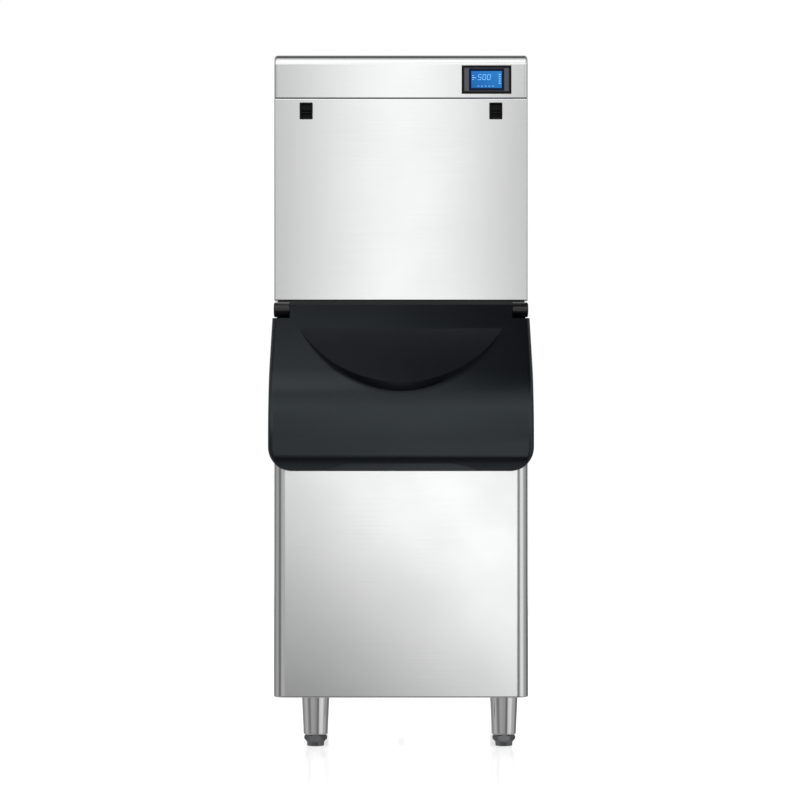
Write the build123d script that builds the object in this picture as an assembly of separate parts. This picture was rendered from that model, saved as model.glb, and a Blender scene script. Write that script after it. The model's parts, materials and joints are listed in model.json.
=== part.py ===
from build123d import *
import math
import os

os.makedirs("parts", exist_ok=True)

# Whole machine, in millimetres. Origin: middle of the footprint on the floor. Front faces -Y.
HEAD_W = 560.0
HEAD_D = 620.0
HEAD_H = 545.0
FASCIA_H = 95.0
BIN_INSIDE = 6.0        # bin's sides inside the head's sides
BIN_H = 848.0
BIN_STEP = 182.0        # bin front ahead of the head front
DOOR_REACH = 222.0      # fullest point of the door ahead of the head front
LEG_H = 109.0           # floor to the underside of the bin
HEAD_GASKET_T = 10.0

# Sheet metal
SHEET = 1.2
BEND_R = 3.0            # outside radius of a folded edge
TOP_FRONT_R = 22.0      # roll of the top cover's front edge
TOP_SIDE_R = 7.0
RETURN = 22.0           # depth of folded returns
FLANGE = 18.0
SKIRT = 24.0            # side and rear skirt of the top cover
SEAM = 1.8              # gap under the fascia
PANEL_GAP = 0.8
REAR_INSET = 22.0       # recess that protects the rear fittings
BIN_CORNER_R = 25.0
BIN_LIP = 14.0          # folded lip under the bin

# Louvres in the side panels
LOUVRE_W = 92.0
LOUVRE_H = 9.0
LOUVRE_OUT = 3.6
LOUVRE_PITCH_Z = 17.0
LOUVRE_ROWS = 9
LOUVRE_PITCH_Y = 112.0
LOUVRE_COLUMNS = 2
LOUVRE_Z = 70.0         # first row above the head's underside
LOUVRE_Y = 105.0        # first column ahead of the head's back

# Display and latches
DISPLAY_W = 110.0
DISPLAY_H = 63.0
DISPLAY_RIGHT = 91.0    # middle from the head's right side
DISPLAY_UP = 39.5       # middle above the fascia's lower edge
BEZEL_T = 2.0
BEZEL_RIM = 4.5
SCREEN_T = 15.0
LATCH_W = 29.0
LATCH_H = 37.0
LATCH_IN = 70.5         # middle from the head's sides
LATCH_DOWN = 28.0       # middle below the front panel's upper edge
LATCH_CUP = 15.0
LATCH_WALL = 2.0
LATCH_TRAVEL = 8.0
SLIDER_H = 20.0
SLIDER_T = 6.0
SLIDE_GAP = 0.3

# Evaporator side
PARTITION_T = 22.0
WET_DEPTH = 243.0       # head front to the partition
CELL = 26.0             # pitch of the ice cells
CELL_WALL = 2.0
CELL_DEPTH = 20.0
PUMP_BAY = 225.0        # least room to the right of the ice cells
CELL_ROWS = 10
CELL_SLOPE = 14.0       # degrees, so that cubes slide out
EVAP_BACK = 2.0
EVAP_LEFT = 45.0        # from the head's left side
EVAP_UP = 163.0         # above the head's underside
COIL_R = 4.76
COIL_SPACE = 14.0
COIL_PASSES = 5
FRAME_T = 8.0
FRAME_LIP = 4.0
CURTAIN_T = 2.0
CURTAIN_OUT = 36.0      # ahead of the plate's face
CURTAIN_RIB = 4.0
PIN_R = 3.0
PIN_GAP = 0.05
TUBE_R = 11.0
TROUGH_H = 70.0
TROUGH_D = 82.0
TROUGH_UP = 43.0
TROUGH_WALL = 3.0
TROUGH_R = 10.0
TROUGH_RIGHT = 88.0     # from the head's right side
PUMP_RIGHT = 180.0      # axis from the head's right side
PUMP_R = 28.0
PUMP_H = 58.0
PROBE_L = 66.0
FLOAT_R = 13.0
FLOAT_ARM = 40.0
ARM_PIN_R = 2.5

# Refrigeration side
COMP_R = 88.0
COMP_H = 205.0
COMP_LEFT = 130.0       # axis from the head's left side
COMP_BACK = 165.0       # axis ahead of the head's back
MOUNT_H = 16.0
MOUNT_R = 14.0
MOUNT_HOLE = 5.0
MOUNT_SPAN_X = 160.0
MOUNT_SPAN_Y = 150.0
COND_W = 224.0
COND_H = 236.0
COND_T = 56.0
COND_RIGHT = 148.0      # middle from the head's right side
COND_UP = 10.0
COND_BACK = 30.0        # rear face ahead of the rear panel recess
FIN_COUNT = 24
FIN_T = 2.0
FIN_DEEP = 20.0
FAN_R = 100.0
FAN_TIP_GAP = 4.0
FAN_BLADES = 5
FAN_PITCH = 28.0
HUB_R = 22.0
HUB_T = 26.0
SHAFT_R = 4.0
SHROUD_T = 3.0
COLLAR_D = 24.0
MOTOR_R = 36.0
MOTOR_L = 52.0
LINE_R = 4.76
SUCTION_R = 6.35
DRIER_R = 20.0
DRIER_L = 96.0

# Bin
FOAM_T = 32.0
FLOOR_FOAM = 38.0
LINER_T = 3.0
LINER_R = 18.0
MOUTH_LOW = 24.0        # slanted cut starts this far above the door's lower edge
MOUTH_TOP = 22.0        # slanted cut ends this far below the bin's rim
TRIM_T = 8.0
TRIM_FACE = 3.0
HEADER_H = 30.0
HEADER_D = 35.0
DRAIN_R = 11.0
DRAIN_WALL = 2.5

# Door
DOOR_PAST = 10.5        # door's sides beyond the bin's sides
DOOR_TAPER = 3.0        # each side's run inwards towards the top
DOOR_H = 362.0
DOOR_OVER = 1.0         # door top above the bin's rim
DOOR_SLOPE = 41.0       # degrees from vertical
DOOR_TOP_F = 38.0       # top edge ahead of the head front
DOOR_BULGE_R = 230.0
DOOR_ROLL_R = 36.0
DOOR_CORNER_R = 52.0
DOOR_EDGE_R = 11.0
DOOR_WALL = 3.0
DOOR_LAP = 12.0         # how far the door's sides lap over the bin
GASKET_H = 8.0
GASKET_W = 16.0
SEAT_GAP = 0.3
DOOR_LINER_T = 2.5
HINGE_F = 20.0          # hinge axis ahead of the head front
HINGE_DOWN = 10.0       # hinge axis below the bin's rim
KNUCKLE_R = 16.5
KNUCKLE_L = 34.0
HINGE_PIN_R = 5.0
HINGE_PIN_L = 18.0
HINGE_GAP = 0.05
BOSS_R = 11.0
NOTCH_GAP = 2.5
VISOR_DOWN = 52.0       # where the raised field starts, below the bin's rim
VISOR_LIP = 170.0       # its lowest point, below the bin's rim
VISOR_R = 268.0
VISOR_STEP = 26.0
SCOOP_W = 362.0
SCOOP_TOP_W = 216.0
SCOOP_H = 17.0
LIP_UP = 5.0            # door liner's lower edge above the door's lower edge

# Legs
LEG_TOP_R = 30.0
LEG_LOW_R = 26.0
LEG_EDGE_R = 3.0
FOOT_H = 24.0
FOOT_AF = 43.0
FOOT_BASE_R = 18.0
STUD_R = 8.0
STUD_L = 50.0
FRONT_LEFT_IN = 89.0    # legs' axes inside the bin's sides
FRONT_RIGHT_IN = 51.0
REAR_LEFT_IN = 74.0
REAR_RIGHT_IN = 34.0
LEG_INSET = 62.0        # legs' axes behind the bin's front and ahead of its back

# Places worked out from the sizes
DEPTH = HEAD_D + DOOR_REACH
Y_BACK = DEPTH / 2
Y_HEAD = Y_BACK - HEAD_D
Y_BIN = Y_HEAD - BIN_STEP
X_HEAD = HEAD_W / 2
X_BIN = X_HEAD - BIN_INSIDE
DISPLAY_X = X_HEAD - DISPLAY_RIGHT
LATCH_X = X_HEAD - LATCH_IN
CELL_COLUMNS = int((HEAD_W - EVAP_LEFT - PUMP_BAY) / CELL)
PUMP_X = X_HEAD - PUMP_RIGHT
COMP_X = COMP_LEFT - X_HEAD
COND_X = X_HEAD - COND_RIGHT
FRONT_LEFT_X = FRONT_LEFT_IN - X_BIN
FRONT_RIGHT_X = X_BIN - FRONT_RIGHT_IN
REAR_LEFT_X = REAR_LEFT_IN - X_BIN
REAR_RIGHT_X = X_BIN - REAR_RIGHT_IN
Z_BIN = LEG_H
Z_RIM = Z_BIN + BIN_H
Z_HEAD = Z_RIM + HEAD_GASKET_T
Z_TOP = Z_HEAD + HEAD_H
Z_FASCIA = Z_TOP - FASCIA_H
Z_PANEL = Z_FASCIA - SEAM
Y_REAR_PANEL = Y_BACK - REAR_INSET
Y_PART = Y_HEAD + WET_DEPTH
Y_PART_BACK = Y_PART + PARTITION_T
Z_PAN = Z_HEAD + SHEET
Z_PAN_TOP = Z_PAN + SHEET
Z_DOOR_TOP = Z_RIM + DOOR_OVER
Z_DOOR_LOW = Z_DOOR_TOP - DOOR_H
Y_HINGE = Y_HEAD - HINGE_F
Z_HINGE = Z_RIM - HINGE_DOWN
SLANT_LOW = Vector(0, Y_BIN, Z_DOOR_LOW + MOUTH_LOW)
SLANT_TOP = Vector(0, Y_HEAD, Z_RIM - MOUTH_TOP)
SLANT_UP = (SLANT_TOP - SLANT_LOW).normalized()
SLANT_OUT = Vector(0, -SLANT_UP.Z, SLANT_UP.Y)
SLANT_L = (SLANT_TOP - SLANT_LOW).length


def block(x, y, z):
    """A rectangular solid between a low and a high value on each axis."""
    size = [pair[1] - pair[0] for pair in (x, y, z)]
    middle = [(pair[0] + pair[1]) / 2 for pair in (x, y, z)]
    return Pos(*middle) * Box(*size)


def across(points, low, high):
    """A side outline of (y, z) points, extruded from one x value to another."""
    outline = Polyline([(low, y, z) for y, z in points], close=True)
    return extrude(make_face(outline), high - low, dir=(1, 0, 0))


def upright(sketch, low, high):
    """A plan sketch on the XY plane, extruded between two heights."""
    return Pos(0, 0, low) * extrude(sketch, high - low)


def rod(start, end, radius):
    """A round bar between two points."""
    path = Vector(*end) - Vector(*start)
    place = Plane(origin=start, z_dir=path)
    return place * Cylinder(radius, path.length, align=(Align.CENTER, Align.CENTER, Align.MIN))


def bent_tube(points, radius, bend):
    """A tube along straight runs joined by tangent bends."""
    path = FilletPolyline(*points, radius=bend)
    start = Plane(origin=path @ 0, z_dir=path % 0)
    return sweep(start * Circle(radius), path=path)


def turned(points, centre=(0, 0, 0)):
    """A solid of revolution about a vertical axis from (radius, height) points."""
    outline = Polyline([(r, 0, z) for r, z in points], close=True)
    return Pos(*centre) * revolve(make_face(outline), Axis.Z)


def mirrored(shape):
    """The same piece on the other side of the machine."""
    return mirror(shape, Plane.YZ)


def slant_point(up, out):
    """The (y, z) of a point along the slanted bin mouth and out from it."""
    point = SLANT_LOW + SLANT_UP * up + SLANT_OUT * out
    return (point.Y, point.Z)


# Head casing

def cap_solid(inset):
    """The outside of the top cover, or its inside when inset by the sheet."""
    side = X_HEAD - inset
    body = block((-side, side), (Y_HEAD + inset, Y_BACK - inset), (Z_FASCIA - 2 * inset, Z_TOP - inset))
    front_edge = body.edges().filter_by(Axis.X).group_by(Axis.Z)[-1].sort_by(Axis.Y)[0]
    body = fillet(front_edge, TOP_FRONT_R - inset)
    side_edges = body.edges().filter_by(Axis.Y).group_by(Axis.Z)[-1]
    return fillet(side_edges, TOP_SIDE_R - inset)


def make_top_cover():
    cover = cap_solid(0) - cap_solid(SHEET)
    behind = (Y_HEAD + RETURN, Y_BACK + SHEET)
    cover -= block((-X_HEAD, X_HEAD), behind, (Z_FASCIA - SHEET, Z_TOP - SKIRT))
    cover -= block(
        (DISPLAY_X - DISPLAY_W / 2 + BEZEL_RIM, DISPLAY_X + DISPLAY_W / 2 - BEZEL_RIM),
        (Y_HEAD - SHEET, Y_HEAD + 2 * SHEET),
        (Z_DISPLAY - DISPLAY_H / 2 + BEZEL_RIM, Z_DISPLAY + DISPLAY_H / 2 - BEZEL_RIM),
    )
    return cover


def make_front_panel():
    low = Z_HEAD + PANEL_GAP
    body = block((-X_HEAD, X_HEAD), (Y_HEAD, Y_HEAD + RETURN), (low, Z_PANEL))
    body = fillet(body.faces().sort_by(Axis.Y)[0].edges(), BEND_R)
    inner = block(
        (-X_HEAD + SHEET, X_HEAD - SHEET),
        (Y_HEAD + SHEET, Y_HEAD + 2 * RETURN),
        (low + SHEET, Z_PANEL - SHEET),
    )
    inner = fillet(inner.faces().sort_by(Axis.Y)[0].edges(), BEND_R - SHEET)
    panel = body - inner
    for side in (-1, 1):
        panel -= block(
            (side * LATCH_X - LATCH_W / 2 + LATCH_WALL, side * LATCH_X + LATCH_W / 2 - LATCH_WALL),
            (Y_HEAD - SHEET, Y_HEAD + 2 * SHEET),
            (Z_LATCH - LATCH_H / 2 + LATCH_WALL, Z_LATCH + LATCH_H / 2 - LATCH_WALL),
        )
    return panel


def make_side_panel():
    """The right-hand panel: a folded tray with pressed louvres."""
    front = Y_HEAD + RETURN + PANEL_GAP
    top = Z_TOP - SKIRT - PANEL_GAP
    panel = block((X_HEAD - FLANGE, X_HEAD), (front, Y_BACK), (Z_HEAD, top))
    panel -= block(
        (X_HEAD - 2 * FLANGE, X_HEAD - SHEET),
        (front + SHEET, Y_BACK - SHEET),
        (Z_HEAD + SHEET, top - SHEET),
    )
    panel -= block((X_HEAD - 2 * FLANGE, X_HEAD - SHEET), (Y_REAR_PANEL - 1.5 * FLANGE, Y_BACK - SHEET), (top - SHEET, Z_TOP))
    hoods = []
    slots = []
    for row in range(LOUVRE_ROWS):
        for column in range(LOUVRE_COLUMNS):
            z = Z_HEAD + LOUVRE_Z + row * LOUVRE_PITCH_Z
            y = Y_BACK - LOUVRE_Y - column * LOUVRE_PITCH_Y
            hood = make_face(Polyline(
                (X_HEAD, y - LOUVRE_W / 2, z),
                (X_HEAD + LOUVRE_OUT, y - LOUVRE_W / 2, z),
                (X_HEAD, y - LOUVRE_W / 2, z + LOUVRE_H),
                close=True,
            ))
            hoods.append(extrude(hood, LOUVRE_W, dir=(0, 1, 0)))
            half = LOUVRE_W / 2 - SHEET
            slot = make_face(Polyline(
                (X_HEAD - 2 * SHEET, y - half, z - SHEET),
                (X_HEAD, y - half, z - SHEET),
                (X_HEAD + LOUVRE_OUT - SHEET, y - half, z - SHEET),
                (X_HEAD + LOUVRE_OUT - SHEET, y - half, z),
                (X_HEAD - 2 * SHEET, y - half, z + LOUVRE_H - SHEET),
                close=True,
            ))
            slots.append(extrude(slot, 2 * half, dir=(0, 1, 0)))
    return panel + hoods - slots


def make_rear_panel():
    low = Z_PAN_TOP
    top = Z_TOP - SHEET
    side = X_HEAD - SHEET
    panel = block((-side, side), (Y_REAR_PANEL - SHEET, Y_REAR_PANEL), (low, top))
    panel = chamfer(panel.edges().filter_by(Axis.Y).group_by(Axis.Z)[-1], TOP_SIDE_R)
    for edge in (-side, side - SHEET):
        panel += block(
            (edge, edge + SHEET), (Y_REAR_PANEL - FLANGE, Y_REAR_PANEL), (low + 2 * FLANGE, Z_TOP - 2 * SKIRT)
        )
    panel += block(
        (-side + TOP_SIDE_R, side - TOP_SIDE_R), (Y_REAR_PANEL - FLANGE, Y_REAR_PANEL), (top - SHEET, top)
    )
    slots = []
    rows = int(COND_H / LOUVRE_PITCH_Z) - 1
    for row in range(rows):
        for edge in (-1, 1):
            middle = COND_X + edge * COND_W / 4
            z = Z_COND + (row + 1) * LOUVRE_PITCH_Z
            slots.append(block(
                (middle - LOUVRE_W / 2, middle + LOUVRE_W / 2),
                (Y_REAR_PANEL - 2 * SHEET, Y_REAR_PANEL + SHEET),
                (z - LOUVRE_H / 2, z + LOUVRE_H / 2),
            ))
    panel -= slots
    for x, z, radius in SERVICES:
        panel -= rod((x, Y_REAR_PANEL - 2 * SHEET, z), (x, Y_REAR_PANEL + SHEET, z), radius)
    return panel


def make_head_base():
    """Galvanised pan with turned-up edges and the opening that ice drops through."""
    side = X_HEAD - SHEET
    front = Y_HEAD + RETURN + PANEL_GAP + SHEET
    pan = block((-side, side), (front, Y_REAR_PANEL), (Z_PAN, Z_PAN + FLANGE + SHEET))
    pan -= block(
        (-side + SHEET, side - SHEET),
        (front + SHEET, Y_REAR_PANEL + SHEET),
        (Z_PAN_TOP, Z_PAN + 2 * FLANGE),
    )
    pan -= block((-X_HEAD, X_HEAD), (Y_REAR_PANEL - SHEET, Y_BACK), (Z_PAN_TOP, Z_PAN + 2 * FLANGE))
    pan -= block(DROP_X, DROP_Y, (Z_PAN - SHEET, Z_PAN_TOP + SHEET))
    return pan


def make_partition_wall():
    side = X_HEAD - 2 * SHEET
    wall = block((-side, side), (Y_PART, Y_PART_BACK), (Z_PAN_TOP, Z_TOP - SKIRT - FLANGE))
    for x, z, radius in PASSAGES:
        wall -= rod((x, Y_PART - SHEET, z), (x, Y_PART_BACK + SHEET, z), radius)
    return wall


def make_head_gasket():
    side = X_BIN - SHEET
    front = Y_HEAD - TRIM_FACE
    ring = block((-side, side), (front, Y_BACK - SHEET), (Z_RIM, Z_HEAD))
    width = FOAM_T + LINER_T
    ring -= block(
        (-side + width, side - width),
        (front + HEADER_D, Y_BACK - SHEET - width),
        (Z_RIM - SHEET, Z_HEAD + SHEET),
    )
    return ring


# Display and latches

Z_DISPLAY = Z_FASCIA + DISPLAY_UP
Z_LATCH = Z_PANEL - LATCH_DOWN


def plate_ring(x, z, width, height, rim, y_low, y_high):
    """A flat rectangular ring seen from the front."""
    outer = block((x - width / 2, x + width / 2), (y_low, y_high), (z - height / 2, z + height / 2))
    hole = block(
        (x - width / 2 + rim, x + width / 2 - rim),
        (y_low - rim, y_high + rim),
        (z - height / 2 + rim, z + height / 2 - rim),
    )
    return outer - hole


def make_display_bezel():
    ring = plate_ring(
        DISPLAY_X, Z_DISPLAY, DISPLAY_W, DISPLAY_H, BEZEL_RIM + SHEET, Y_HEAD - BEZEL_T, Y_HEAD
    )
    ring = chamfer(ring.faces().sort_by(Axis.Y)[0].outer_wire().edges(), BEZEL_T / 2)
    return ring + plate_ring(
        DISPLAY_X, Z_DISPLAY, DISPLAY_W - 2 * BEZEL_RIM, DISPLAY_H - 2 * BEZEL_RIM, SHEET,
        Y_HEAD - BEZEL_T / 2, Y_HEAD + SCREEN_T,
    )


def make_display_screen():
    half_w = DISPLAY_W / 2 - BEZEL_RIM - SHEET
    half_h = DISPLAY_H / 2 - BEZEL_RIM - SHEET
    return block(
        (DISPLAY_X - half_w, DISPLAY_X + half_w),
        (Y_HEAD - BEZEL_T / 4, Y_HEAD + SCREEN_T),
        (Z_DISPLAY - half_h, Z_DISPLAY + half_h),
    )


def make_latch_bezel(x):
    face = block(
        (x - LATCH_W / 2, x + LATCH_W / 2),
        (Y_HEAD - LATCH_WALL, Y_HEAD),
        (Z_LATCH - LATCH_H / 2, Z_LATCH + LATCH_H / 2),
    )
    face = fillet(face.edges().filter_by(Axis.Y), LATCH_WALL)
    half_w = LATCH_W / 2 - LATCH_WALL
    half_h = LATCH_H / 2 - LATCH_WALL
    cup = block((x - half_w, x + half_w), (Y_HEAD, Y_HEAD + LATCH_CUP), (Z_LATCH - half_h, Z_LATCH + half_h))
    pocket = block(
        (x - half_w + LATCH_WALL / 2, x + half_w - LATCH_WALL / 2),
        (Y_HEAD - 2 * LATCH_WALL, Y_HEAD + LATCH_CUP - LATCH_WALL),
        (Z_LATCH - half_h + LATCH_WALL / 2, Z_LATCH + half_h - LATCH_WALL / 2),
    )
    return face + cup - pocket


def make_latch_slider(x):
    """A finger slide that drops inside its cup to free the panel."""
    half = LATCH_W / 2 - 1.5 * LATCH_WALL - SLIDE_GAP
    top = Z_LATCH + LATCH_H / 2 - 1.5 * LATCH_WALL - SLIDE_GAP
    floor = Y_HEAD + LATCH_CUP - LATCH_WALL - SLIDE_GAP
    slider = block((x - half, x + half), (floor - SLIDER_T, floor), (top - SLIDER_H, top))
    ridge = across(
        [
            (floor - SLIDER_T, top - SLIDER_H * 0.65),
            (floor - 1.8 * SLIDER_T, top - SLIDER_H * 0.85),
            (floor - 1.8 * SLIDER_T, top - SLIDER_H),
            (floor - SLIDER_T, top - SLIDER_H),
        ],
        x - half,
        x + half,
    )
    return slider + ridge


# Ice making side

X_EVAP = -X_HEAD + EVAP_LEFT
EVAP_W = CELL_COLUMNS * CELL + CELL_WALL
EVAP_H = CELL_ROWS * CELL + CELL_WALL
X_EVAP_END = X_EVAP + EVAP_W
Z_EVAP = Z_HEAD + EVAP_UP
Z_EVAP_TOP = Z_EVAP + EVAP_H
Y_PLATE_BACK = Y_PART - COIL_SPACE
Y_PLATE = Y_PLATE_BACK - EVAP_BACK - CELL_DEPTH
Y_CURTAIN = Y_PLATE - CURTAIN_OUT
Z_FRAME_TOP = Z_EVAP_TOP + FRAME_T
Z_CURTAIN_PIN = Z_FRAME_TOP + 2 * TUBE_R
Y_TUBE = Y_PLATE + TUBE_R
Z_TUBE = Z_FRAME_TOP + TUBE_R + SEAT_GAP
HOSE_R = 6.2
EAR_T = 3.0
Z_TROUGH = Z_HEAD + TROUGH_UP
Z_TROUGH_TOP = Z_TROUGH + TROUGH_H
Y_TROUGH = Y_PART - TROUGH_D
X_TROUGH_END = X_HEAD - TROUGH_RIGHT
DROP_X = (X_EVAP, X_EVAP_END)
DROP_Y = (Y_HEAD + RETURN + FLANGE, Y_TROUGH - CELL_WALL)


def make_evaporator_plate():
    """Freezing plate: a grid of open cells with floors that slope down to the front."""
    plate = block((X_EVAP, X_EVAP_END), (Y_PLATE, Y_PLATE_BACK), (Z_EVAP, Z_EVAP_TOP))
    drop = CELL_DEPTH * math.tan(math.radians(CELL_SLOPE))
    inner = CELL - CELL_WALL
    cells = []
    for row in range(CELL_ROWS):
        z = Z_EVAP + CELL_WALL + row * CELL
        for column in range(CELL_COLUMNS):
            x = X_EVAP + CELL_WALL + column * CELL
            cells.append(across(
                [
                    (Y_PLATE - EVAP_BACK, z),
                    (Y_PLATE + CELL_DEPTH, z + drop * 0.9),
                    (Y_PLATE + CELL_DEPTH, z + inner),
                    (Y_PLATE - EVAP_BACK, z + inner),
                ],
                x,
                x + inner,
            ))
    return plate - cells


def make_evaporator_coil():
    """Serpentine tube on the back of the freezing plate."""
    y = Y_PLATE_BACK + COIL_R + SEAT_GAP
    pitch = (EVAP_H - 4 * CELL_WALL) / COIL_PASSES
    ends = (X_EVAP + CELL, X_EVAP_END - CELL)
    points = []
    for turn in range(COIL_PASSES):
        z = Z_EVAP_TOP - 2 * CELL_WALL - pitch * (turn + 0.5)
        pair = ends if turn % 2 else ends[::-1]
        points += [(pair[0], y, z), (pair[1], y, z)]
    return bent_tube(points, COIL_R, pitch * 0.49)


def make_evaporator_frame():
    """Moulded surround that holds the plate on the partition and carries the curtain."""
    low, high = X_EVAP - FRAME_T, X_EVAP_END + FRAME_T
    ring = block((low, high), (Y_PLATE - FRAME_LIP, Y_PART), (Z_EVAP - FRAME_T, Z_FRAME_TOP))
    ring -= block((X_EVAP, X_EVAP_END), (Y_PLATE - 2 * FRAME_LIP, Y_PART + SHEET), (Z_EVAP, Z_EVAP_TOP))
    for x in (low, high - EAR_T):
        ear = across(
            [
                (Y_PLATE + CELL_DEPTH, Z_FRAME_TOP - FRAME_T / 2),
                (Y_PLATE - FRAME_LIP, Z_FRAME_TOP - FRAME_T / 2),
                (Y_CURTAIN - 2 * PIN_R, Z_CURTAIN_PIN - 2 * PIN_R),
                (Y_CURTAIN - 2 * PIN_R, Z_CURTAIN_PIN + 2 * PIN_R),
                (Y_PLATE + CELL_DEPTH, Z_CURTAIN_PIN + 2 * PIN_R),
            ],
            x,
            x + EAR_T,
        )
        ring += ear
    ring -= rod((low - SHEET, Y_CURTAIN, Z_CURTAIN_PIN), (high + SHEET, Y_CURTAIN, Z_CURTAIN_PIN), PIN_R + PIN_GAP)
    ring -= rod((high - 2 * EAR_T, Y_TUBE, Z_TUBE), (high + SHEET, Y_TUBE, Z_TUBE), HOSE_R + SLIDE_GAP)
    for x in PROBE_EARS:
        ring += block((x, x + EAR_T), (Y_PROBE - 2 * PIN_R, Y_PLATE - FRAME_LIP),
                      (Z_FRAME_TOP - 4 * PIN_R, Z_FRAME_TOP))
    ring -= rod((PROBE_EARS[0] - SHEET, Y_PROBE, Z_PROBE), (PROBE_EARS[1] + EAR_T + SHEET, Y_PROBE, Z_PROBE),
                PIN_R + PIN_GAP)
    return ring


Y_PROBE = Y_PLATE - FRAME_LIP - 2.5 * PIN_R
Z_PROBE = Z_FRAME_TOP - 2 * PIN_R
PROBE_W = 16.0
X_PROBE = X_EVAP_END - 1.5 * CELL
PROBE_EARS = (X_PROBE - PROBE_W / 2 - SLIDE_GAP - EAR_T, X_PROBE + PROBE_W / 2 + SLIDE_GAP)


def make_thickness_probe():
    """Hangs on two pins ahead of the plate and senses the ice with a needle."""
    low = Z_PROBE - PROBE_L
    body = block(
        (X_PROBE - PROBE_W / 2, X_PROBE + PROBE_W / 2),
        (Y_PROBE - 1.5 * PIN_R, Y_PROBE + PIN_R),
        (low, Z_PROBE + 1.5 * PIN_R),
    )
    body += rod((PROBE_EARS[0], Y_PROBE, Z_PROBE), (PROBE_EARS[1] + EAR_T, Y_PROBE, Z_PROBE), PIN_R)
    body += rod((X_PROBE, Y_PROBE, low + 2 * PIN_R), (X_PROBE, Y_PLATE - PIN_R, low + 2 * PIN_R), PIN_R / 2)
    return body


def make_water_curtain():
    """Clear flap that hangs in front of the plate and swings as the ice falls."""
    low, high = X_EVAP - FRAME_T + EAR_T + SLIDE_GAP, X_EVAP_END + FRAME_T - EAR_T - SLIDE_GAP
    bottom = Z_EVAP - 2 * FRAME_T
    sheet = across(
        [
            (Y_CURTAIN - CURTAIN_T / 2, Z_CURTAIN_PIN),
            (Y_CURTAIN + CURTAIN_T / 2, Z_CURTAIN_PIN),
            (Y_CURTAIN + CURTAIN_T / 2, bottom + CELL),
            (Y_CURTAIN + CURTAIN_T / 2 + CELL / 4, bottom),
            (Y_CURTAIN - CURTAIN_T / 2 + CELL / 4, bottom),
            (Y_CURTAIN - CURTAIN_T / 2, bottom + CELL),
        ],
        low,
        high,
    )
    for rib in range(5):
        x = low + (high - low - CURTAIN_T) * rib / 4
        sheet += block((x, x + CURTAIN_T), (Y_CURTAIN - CURTAIN_RIB, Y_CURTAIN), (bottom + CELL, Z_CURTAIN_PIN))
    sheet += rod((low - SLIDE_GAP - EAR_T, Y_CURTAIN, Z_CURTAIN_PIN),
                 (high + SLIDE_GAP + EAR_T, Y_CURTAIN, Z_CURTAIN_PIN), PIN_R)
    return sheet


def make_water_distributor():
    """Tube with one outlet over each column of cells, clipped on the frame's top."""
    low = X_EVAP - FRAME_T + EAR_T + SLIDE_GAP
    high = X_EVAP_END + FRAME_T - EAR_T - SLIDE_GAP
    tube = rod((low, Y_TUBE, Z_TUBE), (high, Y_TUBE, Z_TUBE), TUBE_R)
    holes = []
    for column in range(CELL_COLUMNS):
        x = X_EVAP + CELL * (column + 0.5)
        holes.append(rod((x, Y_TUBE - 2 * TUBE_R, Z_TUBE), (x, Y_TUBE - TUBE_R / 2, Z_TUBE), CELL_WALL))
    return tube - holes


def make_water_trough():
    x = (X_EVAP - FRAME_T, X_TROUGH_END)
    y = (Y_TROUGH, Y_PART)
    body = block(x, y, (Z_TROUGH, Z_TROUGH_TOP))
    body = fillet(body.edges().filter_by(Axis.X).group_by(Axis.Z)[0], TROUGH_R)
    wall = TROUGH_WALL
    inner = block(
        (x[0] + wall, x[1] - wall), (y[0] + wall, y[1] - wall), (Z_TROUGH + wall, Z_TROUGH_TOP + wall)
    )
    inner = fillet(inner.edges().filter_by(Axis.X).group_by(Axis.Z)[0], TROUGH_R - wall)
    body -= inner
    return body - rod(
        (X_DUMP, Y_PART - 2 * wall, Z_DUMP), (X_DUMP, Y_PART + wall, Z_DUMP), LINE_R
    )


X_DUMP = X_EVAP + 2 * CELL
Z_DUMP = Z_TROUGH + TROUGH_R + 2 * LINE_R
Y_PUMP = (Y_TROUGH + Y_PART) / 2
X_SUPPLY = PUMP_X + PUMP_R + 2 * LINE_R


def make_water_pump():
    """Motor on the trough's rim, with its stem and impeller housing in the water."""
    floor = Z_TROUGH + 2 * TROUGH_WALL
    plate_top = Z_TROUGH_TOP + TROUGH_WALL
    pump = block((PUMP_X - PUMP_R, X_SUPPLY + 2 * LINE_R), (Y_TROUGH, Y_PART), (Z_TROUGH_TOP, plate_top))
    pump += turned(
        [
            (0, floor), (15, floor), (15, floor + 14), (8, floor + 20), (8, plate_top), (PUMP_R, plate_top),
            (PUMP_R, plate_top + PUMP_H), (PUMP_R - 5, plate_top + PUMP_H + 5), (0, plate_top + PUMP_H + 5),
        ],
        (PUMP_X, Y_PUMP, 0),
    )
    pump += block((PUMP_X, X_SUPPLY + LINE_R), (Y_PUMP - LINE_R, Y_PUMP + LINE_R), (floor, floor + 2 * LINE_R))
    return pump + rod((X_SUPPLY, Y_PUMP, floor), (X_SUPPLY, Y_PUMP, plate_top + 2 * LINE_R), HOSE_R)


def make_supply_tube():
    """Hose from the pump up to the end of the distributor."""
    start = Z_TROUGH_TOP + TROUGH_WALL + 2 * LINE_R
    end_x = X_EVAP_END + FRAME_T
    shift = abs(Y_PUMP - Y_TUBE)
    points = [(X_SUPPLY, Y_PUMP, start), (X_SUPPLY, Y_PUMP, start + 60 + shift),
              (X_SUPPLY, Y_TUBE, start + 120 + 3 * shift), (X_SUPPLY, Y_TUBE, Z_TUBE),
              (end_x - EAR_T - SLIDE_GAP, Y_TUBE, Z_TUBE)]
    return bent_tube(points, HOSE_R, 22)


X_FLOAT = X_TROUGH_END - TROUGH_WALL - FLOAT_R - 4
Y_ARM = Y_PART - TROUGH_WALL - FLOAT_R
Z_ARM = Z_TROUGH_TOP - 3 * ARM_PIN_R


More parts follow.
